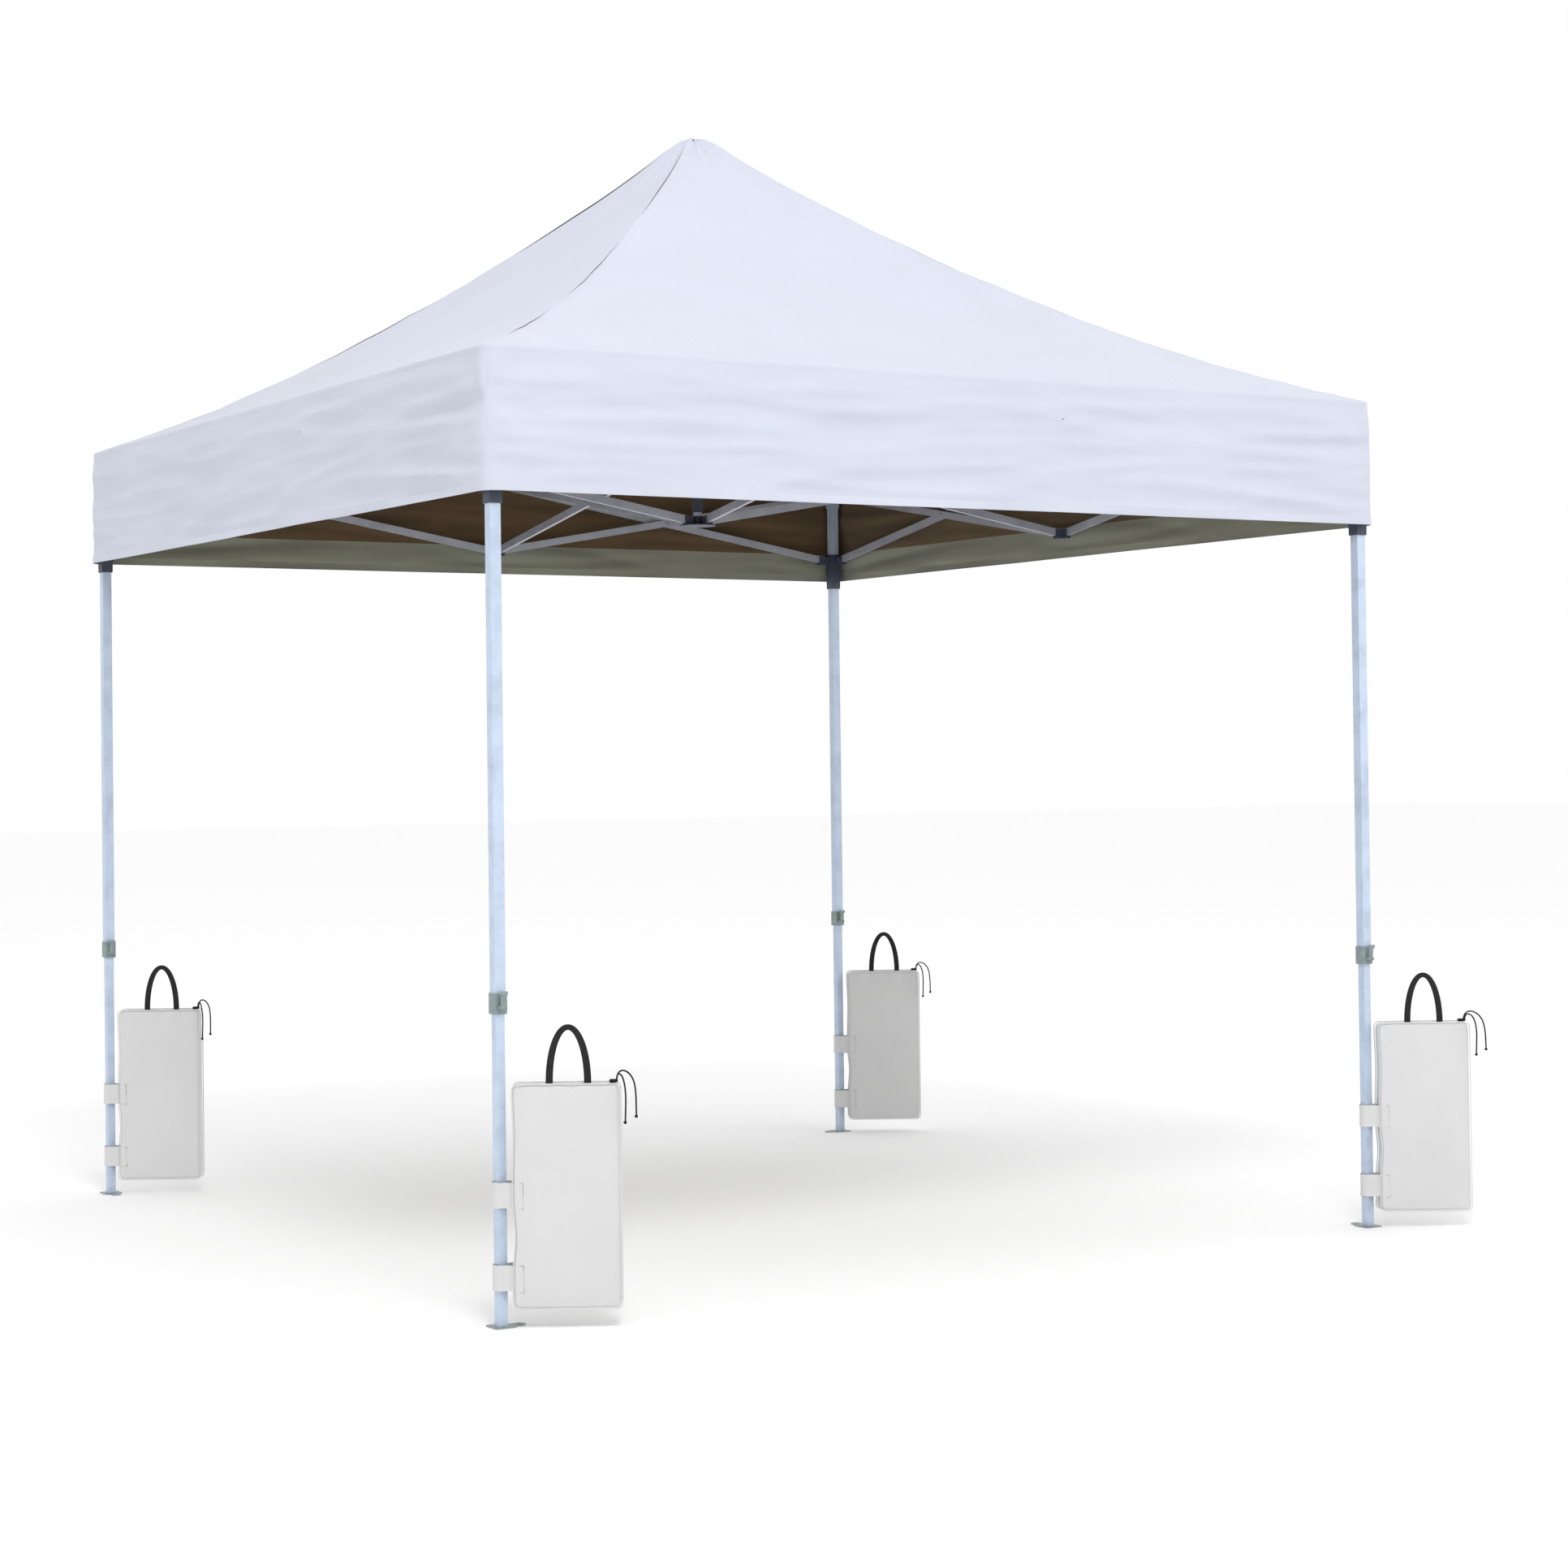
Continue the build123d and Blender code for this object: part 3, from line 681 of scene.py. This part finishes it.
def near_edge_shape(bag, x, z):
    """The near edge stands off between the straps, where nothing holds it to the leg."""
    below = BAG_BOTTOM + bag.height - z
    share = max(0.0, 1 - (x - bag.edge) / 0.06)
    upper, lower = STRAP_MIDDLES
    between = exp(-((below - (upper + lower) / 2) / 0.055) ** 2)
    above = exp(-((below - 0.14) / 0.075) ** 2)
    return share**2 * (0.0075 * between + 0.004 * above)


def evaluated_mesh(piece):
    """A plain mesh of a piece with its modifiers applied."""
    graph = bpy.context.evaluated_depsgraph_get()
    return bpy.data.meshes.new_from_object(piece.evaluated_get(graph))


def scratch_piece(name, mesh):
    piece = bpy.data.objects.new(name, mesh)
    bpy.context.scene.collection.objects.link(piece)
    return piece


def case_block(bag):
    """The unfilled case: a rounded block with even faces small enough to bend."""
    outline = case_outline(bag, 0.004)
    rings = [[(x, y, z) for x, z in outline] for y in (CASE_EDGE / 2, -CASE_EDGE / 2)]
    vertices, faces = loft_rings(rings)
    mesh = bpy.data.meshes.new("case_block")
    mesh.from_pydata(vertices, [], faces)
    block = scratch_piece("case_block", mesh)
    remesh = block.modifiers.new("remesh", "REMESH")
    remesh.mode = "VOXEL"
    remesh.voxel_size = SIM_VOXEL
    bpy.context.view_layer.update()
    made = evaluated_mesh(block)
    bpy.data.objects.remove(block)
    return made


def held_points(bag, case):
    """The points along the piped edges, which the filling doesn't move."""
    low, high = BAG_BOTTOM + bag.height * 0.02, BAG_BOTTOM + bag.height * 0.98
    left, right = bag.edge + RIM, bag.edge + bag.width - RIM
    held = []
    for v in case.vertices:
        at_rim = v.co.x < left or v.co.x > right or v.co.z < low or v.co.z > high
        if at_rim and abs(abs(v.co.y) - CASE_EDGE / 2) < SIM_VOXEL:
            held.append(v.index)
    return held


def pressed_out(bag, case, start):
    """The case's points after a short cloth simulation under inner pressure."""
    soft = scratch_piece("case_soft", case)
    edge = soft.vertex_groups.new(name="piped_edge")
    edge.add(held_points(bag, case), 1.0, "REPLACE")
    fill = soft.modifiers.new("fill", "CLOTH")
    fill.settings.use_pressure = True
    fill.settings.uniform_pressure_force = FILL_PRESSURE
    fill.settings.vertex_group_mass = "piped_edge"
    fill.settings.effector_weights.gravity = 0.0
    fill.point_cache.frame_end = SIM_FRAMES
    for step in range(1, SIM_FRAMES + 1):
        bpy.context.scene.frame_set(step)
    moved = np.array([v.co for v in evaluated_mesh(soft).vertices]) - start
    bpy.context.scene.frame_set(1)
    bpy.data.objects.remove(soft)
    reach = np.linalg.norm(moved, axis=1, keepdims=True)
    return start + moved * np.minimum(1.0, bag.puff / np.maximum(reach, 1e-9))


def rumple_case(bag, places):
    """Small ripples, the pleats under the top seam and the drawn-in near edge."""
    top = BAG_BOTTOM + bag.height
    for i, (x, y, z) in enumerate(places):
        side = 1 if y > 0 else -1
        facing = min(1.0, abs(y) / (CASE_EDGE / 2))
        ripple = 0.0016 * soft_noise((x, y, z), 9.0, 2.0)
        ripple += 0.0011 * soft_noise((x * 2.4, y, z * 0.8), 22.0, 6.0)
        pleat = 0.0018 * exp(-((top - z) / 0.05) ** 2) * sin(x * 95)
        places[i, 1] += side * facing * (ripple + pleat)
        places[i, 0] += near_edge_shape(bag, x, z)


def filled_case(bag):
    """The case's mesh: a rounded block, filled out between its piped edges, rumpled and smoothed."""
    case = case_block(bag)
    places = np.array([v.co for v in case.vertices])
    places = pressed_out(bag, case, places)
    rumple_case(bag, places)
    case.vertices.foreach_set("co", places.astype(np.float32).ravel())
    case.update()
    smoothed = scratch_piece("case_smooth", case)
    relax = smoothed.modifiers.new("relax", "SMOOTH")
    relax.factor = 0.5
    relax.iterations = 3
    finer = smoothed.modifiers.new("finer", "SUBSURF")
    finer.levels = 1
    made = evaluated_mesh(smoothed)
    bpy.data.objects.remove(smoothed)
    made.polygons.foreach_set("use_smooth", np.ones(len(made.polygons), bool))
    return made


def tube_mesh(points, radius, sides=8, closed=True):
    """A round tube along points, each ring square to the path."""
    rings = []
    count = len(points)
    for i, point in enumerate(points):
        before = Vector(points[i - 1]) if closed or i else Vector(point)
        after = Vector(points[(i + 1) % count]) if closed or i < count - 1 else Vector(point)
        along = (after - before).normalized()
        flat = Vector((0, 1, 0)) if abs(along.y) < 0.9 else Vector((1, 0, 0))
        one = along.cross(flat).normalized()
        two = along.cross(one).normalized()
        turns = [tau * k / sides for k in range(sides)]
        rings.append([Vector(point) + radius * (cos(a) * one + sin(a) * two) for a in turns])
    return loft_rings(rings, closed=closed)


def piping(bag, material):
    """The corded seams round the front and back of the case."""
    vertices, faces = [], []
    for y in (CASE_EDGE / 2, -CASE_EDGE / 2):
        outline = denser(case_outline(bag, 0.0030, 8), 0.012)
        path = [(x + near_edge_shape(bag, x, z), y, z) for x, z in outline]
        more, joined = tube_mesh(path, 0.0016)
        faces += [tuple(len(vertices) + i for i in face) for face in joined]
        vertices += more
    return mesh_from("piping", vertices, faces, [material])


def denser(outline, step):
    """A closed outline with points no further apart than step."""
    made = []
    for (x0, z0), (x1, z1) in zip(outline, outline[1:] + outline[:1]):
        cuts = max(1, ceil(hypot(x1 - x0, z1 - z0) / step))
        made += [(x0 + (x1 - x0) * i / cuts, z0 + (z1 - z0) * i / cuts) for i in range(cuts)]
    return made


def strap_mesh(bag, below, material):
    """A wrap strap: a doubled band from the case's near edge, round the leg and back to the case."""
    top = BAG_BOTTOM + bag.height
    turn = 0.0195
    path = [(bag.edge + 0.030, -0.034), (bag.edge + 0.008, -0.026), (0.010, -0.0185)]
    path += [(turn * cos(a), turn * sin(a)) for a in (radians(-90 - 22.5 * i) for i in range(0, 9))]
    path += [(0.010, 0.0185), (bag.edge + 0.008, 0.026), (bag.edge + 0.030, 0.034)]
    rows = 9
    outer = []
    for r in range(rows):
        share = r / (rows - 1)
        z = top - below + STRAP_HEIGHT * (share - 0.5)
        ring = []
        for i, (x, y) in enumerate(path):
            edge_roll = 0.05 if abs(share - 0.5) > 0.42 else 0.0
            grow = 1 + 0.045 * soft_noise((i * 0.8, share * 3, below * 20), 1.0, 8.0) + edge_roll
            sway = 0.0015 * soft_noise((i * 0.9, share, 0), 1.0, below * 9)
            ring.append((x if x > 0.02 else x * grow, y * grow, z + sway))
        outer.append(ring)
    grid = np.array(outer)[:, ::-1]
    normals = grid_normals(grid)
    if (normals[rows // 2, len(path) // 2, 0]) > 0:
        grid = grid[:, ::-1]
        normals = grid_normals(grid)
    return cloth_mesh("wrap_strap", grid + normals * 0.0012, normals, 0.0024, [material, material])


# half of the webbing's section: share of its width from the middle, share of its depth, with one groove
WEBBING_HALF = [(-1.0, 0.55), (-0.85, 0.95), (-0.45, 1.0), (-0.40, 0.80), (-0.28, 0.80), (-0.22, 1.0)]


def handle_mesh(bag, materials):
    """The grab handle: webbing folded to a narrow band, with two woven stripes."""
    middle, foot = bag.edge + HANDLE_ALONG, BAG_BOTTOM + bag.height
    across, rise = (HANDLE_WIDTH - HANDLE_BAND) / 2, HANDLE_RISE - HANDLE_BAND / 2
    turns = [-0.09 + (pi + 0.18) * i / 48 for i in range(49)]
    path = [(middle - across * cos(a), foot + rise * sin(a), a) for a in turns]
    half_band, half_deep = HANDLE_BAND / 2, HANDLE_DEEP / 2
    section = []
    for sign in (1, -1):
        for share, deep in WEBBING_HALF + [(-a, b) for a, b in WEBBING_HALF[::-1]]:
            section.append((sign * share * half_band, sign * deep * half_deep))
    rings = []
    for i, (x, z, _) in enumerate(path):
        before, after = path[max(0, i - 1)], path[min(len(path) - 1, i + 1)]
        along = Vector((after[0] - before[0], 0, after[1] - before[1])).normalized()
        out = Vector((-along.z, 0, along.x))
        thin = 0.78 + 0.22 * abs(cos(path[i][2]))
        rings.append([Vector((x, 0, z)) + out * a * thin + Vector((0, b, 0)) for a, b in section])
    vertices, faces = loft_rings(rings)
    mesh = mesh_from("handle", vertices, faces, materials, radians(50))
    size = len(section)
    striped = {k for k in range(size) if k % 12 in (3, 7)}
    for polygon in mesh.polygons[: (len(rings) - 1) * size]:
        polygon.material_index = 1 if polygon.index % size in striped else 0
    return mesh


def tie_tab_mesh(bag, material):
    """The folded webbing tab in the top seam that the ties are sewn under."""
    x, z = bag.edge + bag.width - 0.020, BAG_BOTTOM + bag.height
    made = bmesh.new()
    bmesh.ops.create_cube(made, size=1.0)
    for v in made.verts:
        v.co = Vector((x + v.co.x * 0.022, v.co.y * 0.020, z + 0.0015 + v.co.z * 0.008))
    bmesh.ops.bevel(made, geom=made.edges[:], offset=0.0022, segments=3, affect="EDGES")
    mesh = bpy.data.meshes.new("tie_tab")
    made.to_mesh(mesh)
    made.free()
    mesh.materials.append(material)
    mesh.polygons.foreach_set("use_smooth", np.ones(len(mesh.polygons), bool))
    return mesh


class CANOPY_OT_bags(bpy.types.Operator):
    """Build the filled weight bags with their straps, piping and handles"""

    bl_idname = "canopy.bags"
    bl_label = "Weight bags"

    def execute(self, context):
        bag = context.scene.canopy_bag
        cloth = cloth_material("bag_cloth", bag.cloth, 0.0014, 0.03, 0.45)
        webbing = webbing_material("handle_webbing", bag.webbing)
        stripe = webbing_material("handle_stripe", (0.035, 0.030, 0.028))
        case = filled_case(bag)
        case.materials.clear()
        case.materials.append(cloth)
        parts = {
            "bag_piping": piping(bag, cloth),
            "bag_strap_upper": strap_mesh(bag, STRAP_MIDDLES[0], cloth),
            "bag_strap_lower": strap_mesh(bag, STRAP_MIDDLES[1], cloth),
            "bag_handle": handle_mesh(bag, [webbing, stripe]),
            "bag_tie_tab": tie_tab_mesh(bag, webbing),
        }
        for corner in CORNERS:
            place = bag_place(bag, corner)
            body = f"foot_{corner}"
            mesh = case.copy()
            mesh.transform(place)
            piece = link(f"bag_case_{corner}", mesh, body)
            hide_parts(f"weight_bag_{corner}")
            for name, part in parts.items():
                copy = part.copy()
                copy.transform(place)
                link(f"{name}_{corner}", copy, body)
        return {"FINISHED"}


# ---------------------------------------------------------------- tie cords
TIE_ALONG = 0.268  # from the bag's near edge
TIE_ROUTES = {
    "straight": (
        (0, -0.008, 0),
        (0, -0.008, 0.015),
        (0.007, -0.024, 0.023),
        (0.016, -0.042, 0.016),
        (0.022, -0.053, -0.006),
        (0.024, -0.056, -0.036),
        (0.023, -0.055, -0.068),
        (0.022, -0.055, -0.098),
    ),
    "swung": (
        (0, 0.006, 0),
        (0, 0.006, 0.016),
        (0.012, -0.008, 0.030),
        (0.030, -0.026, 0.026),
        (0.044, -0.042, 0.008),
        (0.049, -0.053, -0.020),
        (0.050, -0.058, -0.052),
        (0.050, -0.060, -0.082),
    ),
}
KNOT_TURNS = 96


def tie_curve(name, points, radius, material):
    """One tie as a smooth NURBS line through its listed points."""
    curve = bpy.data.curves.new(name, "CURVE")
    curve.dimensions = "3D"
    curve.bevel_depth = radius
    curve.bevel_resolution = 3
    curve.use_fill_caps = True
    curve.resolution_u = 10
    spline = curve.splines.new("NURBS")
    spline.points.add(len(points) - 1)
    for slot, point in zip(spline.points, points):
        slot.co = (*point, 1)
    spline.order_u = 3
    spline.use_endpoint_u = True
    curve.materials.append(material)
    return curve


def knot_mesh(centre, radius, material):
    """A small overhand knot: a closed trefoil of the same cord."""
    path = []
    for i in range(KNOT_TURNS):
        t = tau * i / KNOT_TURNS
        x, y, z = sin(t) + 2 * sin(2 * t), cos(t) - 2 * cos(2 * t), -sin(3 * t)
        offset = Vector((x * radius * 0.5, y * radius * 0.5, z * radius * 0.9))
        path.append(tuple(Vector(centre) + offset))
    vertices, faces = tube_mesh(path, radius * 0.72, 6)
    return mesh_from("tie_knot", vertices, faces, [material])


class CANOPY_OT_ties(bpy.types.Operator):
    """Lay the two tie cords of each weight bag"""

    bl_idname = "canopy.ties"
    bl_label = "Ties"

    def execute(self, context):
        bag = context.scene.canopy_bag
        black = webbing_material("tie_cord", bag.webbing)
        for corner in CORNERS:
            place = bag_place(bag, corner)
            for name, route in TIE_ROUTES.items():
                start = Vector((bag.edge + TIE_ALONG, 0, BAG_BOTTOM + bag.height))
                points = [place @ (start + Vector(p)) for p in route]
                body = f"foot_{corner}"
                tie = link(f"tie_{name}_{corner}", tie_curve(f"tie_{name}", points, bag.cord, black), body)
                knot = link(f"tie_knot_{name}_{corner}", knot_mesh(points[-1], bag.cord, black), body)
                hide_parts(f"bag_ties_{corner}")
        return {"FINISHED"}


# ---------------------------------------------------------------- frame finishes
def islands(mesh):
    """The separate solids of a node: a list of (face numbers, lowest corner, highest corner)."""
    keys, parent = {}, []

    def root(i):
        while parent[i] != i:
            parent[i] = parent[parent[i]]
            i = parent[i]
        return i

    labels = []
    for v in mesh.vertices:
        key = tuple(round(c * 20000) for c in v.co)
        if key not in keys:
            keys[key] = len(parent)
            parent.append(len(parent))
        labels.append(keys[key])
    for polygon in mesh.polygons:
        first = root(labels[polygon.vertices[0]])
        for v in polygon.vertices[1:]:
            parent[root(labels[v])] = first
    groups = {}
    for polygon in mesh.polygons:
        groups.setdefault(root(labels[polygon.vertices[0]]), []).append(polygon.index)
    made = []
    for faces in groups.values():
        places = np.array([mesh.vertices[v].co for f in faces for v in mesh.polygons[f].vertices])
        made.append((faces, places.min(0), places.max(0)))
    return made


def finish_node(name, materials, choose):
    """Give each solid of a CAD node the material that choose names from its size and place."""
    mesh = NODES[name].data
    mesh.materials.clear()
    for material in materials:
        mesh.materials.append(material)
    for faces, low, high in islands(mesh):
        index = choose(low, high)
        for face in faces:
            mesh.polygons[face].material_index = index


def repaint(name, index, test):
    """Give one material to the faces of an outer leg that a test picks by their box, off the leg's middle."""
    mesh = NODES[name].data
    x, y = CORNERS[name[-2:]]
    shift = np.array((x * HALF_SPAN, y * HALF_SPAN, 0))
    for polygon in mesh.polygons:
        places = np.array([mesh.vertices[v].co for v in polygon.vertices]) - shift
        if test(places.min(0), places.max(0)):
            polygon.material_index = index


class CANOPY_OT_frame(bpy.types.Operator):
    """Finish the legs, truss, hubs and brackets"""

    bl_idname = "canopy.frame"
    bl_label = "Frame finishes"

    def execute(self, context):
        looks = context.scene.canopy_frame
        leg = coated_metal("leg_powder_coat", looks.leg, 0.15, 0.36)
        truss = coated_metal("truss_powder_coat", looks.truss, 0.45, 0.40)
        zinc = coated_metal("zinc_rivet", (0.52, 0.53, 0.54), 0.9, 0.32)
        sole = coated_metal("sole_plate", looks.sole, 0.6, 0.45)
        navy = moulded_nylon("bracket_nylon", looks.navy)
        grey = moulded_nylon("collar_nylon", looks.collar, 0.46)
        black = moulded_nylon("end_plug_nylon", (0.03, 0.03, 0.035))

        small = 0.045  # a rivet is smaller than this
        long = 0.5  # a tube is longer than this

        def biggest(low, high):
            return max(high - low)

        def bar_part(low, high):
            return 0 if biggest(low, high) > long else (2 if biggest(low, high) < small else 1)

        def leg_part(low, high):
            if biggest(low, high) > long:
                return 0
            if biggest(low, high) < small:
                return 3
            return 1 if low[2] > 2 else 2

        def is_collar(low, high):
            off = abs((low + high) / 2)
            return 0.78 < low[2] and high[2] < 0.85 and max(off[0], off[1]) > 0.0151

        for name in NODES:
            if "bar_" in name:
                finish_node(name, [truss, black, zinc], bar_part)
            elif name.startswith("outer_leg"):
                finish_node(name, [leg, navy, grey, zinc], leg_part)
                repaint(name, 2, is_collar)
            elif name.startswith("inner_leg"):
                finish_node(name, [leg, sole], lambda low, high: 0 if biggest(low, high) > long else 1)
            elif name.startswith("lock_lever"):
                finish_node(name, [grey], lambda low, high: 0)
            elif name == "peak_pole":
                finish_node(name, [leg, black], lambda low, high: 0 if biggest(low, high) > long else 1)
            elif name.startswith("slider") or "bracket" in name or name.endswith("hub"):
                finish_node(name, [navy, zinc], lambda low, high: 1 if biggest(low, high) < small else 0)
        return {"FINISHED"}


# ---------------------------------------------------------------- stage
CAMERA_SHIFT = (0.0536, -0.0424)
CAMERA_ROLL = -0.0118
FLOOR_LEVEL = -0.0005


class CANOPY_OT_camera(bpy.types.Operator):
    """Place the camera"""

    bl_idname = "canopy.camera"
    bl_label = "Camera"

    def execute(self, context):
        setup = context.scene.canopy_stage
        data = bpy.data.cameras.new("camera")
        data.lens = setup.lens
        data.sensor_width = 36.0
        data.shift_x, data.shift_y = CAMERA_SHIFT
        data.clip_end = 100.0
        camera = bpy.data.objects.new("camera", data)
        aim = Vector(setup.aim) - Vector(setup.place)
        turn = aim.to_track_quat("-Z", "Y").to_matrix().to_4x4() @ Matrix.Rotation(CAMERA_ROLL, 4, "Z")
        camera.matrix_world = Matrix.Translation(setup.place) @ turn
        context.scene.collection.objects.link(camera)
        context.scene.camera = camera
        return {"FINISHED"}


def soft_light(name, place, aim, size, power, colour=(1, 1, 1)):
    data = bpy.data.lights.new(name, "AREA")
    data.shape = "DISK"
    data.size = size
    data.energy = power
    data.color = colour
    lamp = bpy.data.objects.new(name, data)
    lamp.location = place
    lamp.rotation_euler = (Vector(aim) - Vector(place)).to_track_quat("-Z", "Y").to_euler()
    bpy.context.scene.collection.objects.link(lamp)


class CANOPY_OT_stage(bpy.types.Operator):
    """Lay the floor and set the lights"""

    bl_idname = "canopy.stage"
    bl_label = "Stage"

    def execute(self, context):
        setup = context.scene.canopy_stage
        size = 60.0
        floor, tree, shader = new_material("floor_paper", setup.floor, 0.9, specular=0.1)
        grain = noise_node(tree, object_point(tree), 40.0, 3.0)
        bump(tree, shader, grain, 0.0004, 0.2)
        corners = [(x * size, y * size, FLOOR_LEVEL) for x, y in ((-1, -1), (1, -1), (1, 1), (-1, 1))]
        mesh = bpy.data.meshes.new("floor")
        mesh.from_pydata(corners, [], [(0, 1, 2, 3)])
        mesh.materials.append(floor)
        ground = bpy.data.objects.new("floor", mesh)
        context.scene.collection.objects.link(ground)
        world = bpy.data.worlds.new("soft_sky")
        context.scene.world = world
        world.use_nodes = True
        world.node_tree.nodes["Background"].inputs["Color"].default_value = (1.0, 1.0, 1.0, 1)
        world.node_tree.nodes["Background"].inputs["Strength"].default_value = setup.sky
        soft_light("key", (-3.0, -6.8, 9.2), (0, 0, 1.8), 3.0, setup.key)
        soft_light("side", (9.0, -5.0, 5.0), (0, 0, 1.6), 5.0, setup.key * 0.35)
        context.scene.view_settings.view_transform = "Standard"
        return {"FINISHED"}


class CANOPY_PT_panel(bpy.types.Panel):
    """Lists the canopy's pieces and their settings"""

    bl_label = "Pop Up Canopy"
    bl_idname = "CANOPY_PT_panel"
    bl_space_type = "VIEW_3D"
    bl_region_type = "UI"
    bl_category = "Canopy"

    def draw(self, context):
        for operator in OPERATORS:
            self.layout.operator(operator.bl_idname)
        for group in SETTINGS:
            box = self.layout.box()
            settings = getattr(context.scene, group)
            for name in settings.__annotations__:
                box.prop(settings, name)


SETTINGS = {
    "canopy_cover": CoverSettings,
    "canopy_bag": BagSettings,
    "canopy_frame": FrameSettings,
    "canopy_stage": StageSettings,
}
OPERATORS = [
    CANOPY_OT_camera,
    CANOPY_OT_ties,
    CANOPY_OT_cover,
    CANOPY_OT_bags,
    CANOPY_OT_frame,
    CANOPY_OT_stage,
]


def register():
    for made in [*SETTINGS.values(), *OPERATORS, CANOPY_PT_panel]:
        bpy.utils.register_class(made)
    for name, group in SETTINGS.items():
        setattr(bpy.types.Scene, name, bpy.props.PointerProperty(type=group))


def unregister():
    for name in SETTINGS:
        delattr(bpy.types.Scene, name)
    for made in [CANOPY_PT_panel, *OPERATORS[::-1], *list(SETTINGS.values())[::-1]]:
        bpy.utils.unregister_class(made)


def main():
    register()
    for operator in OPERATORS:
        group, name = operator.bl_idname.split(".")
        getattr(getattr(bpy.ops, group), name)()


if __name__ == "__main__":
    main()
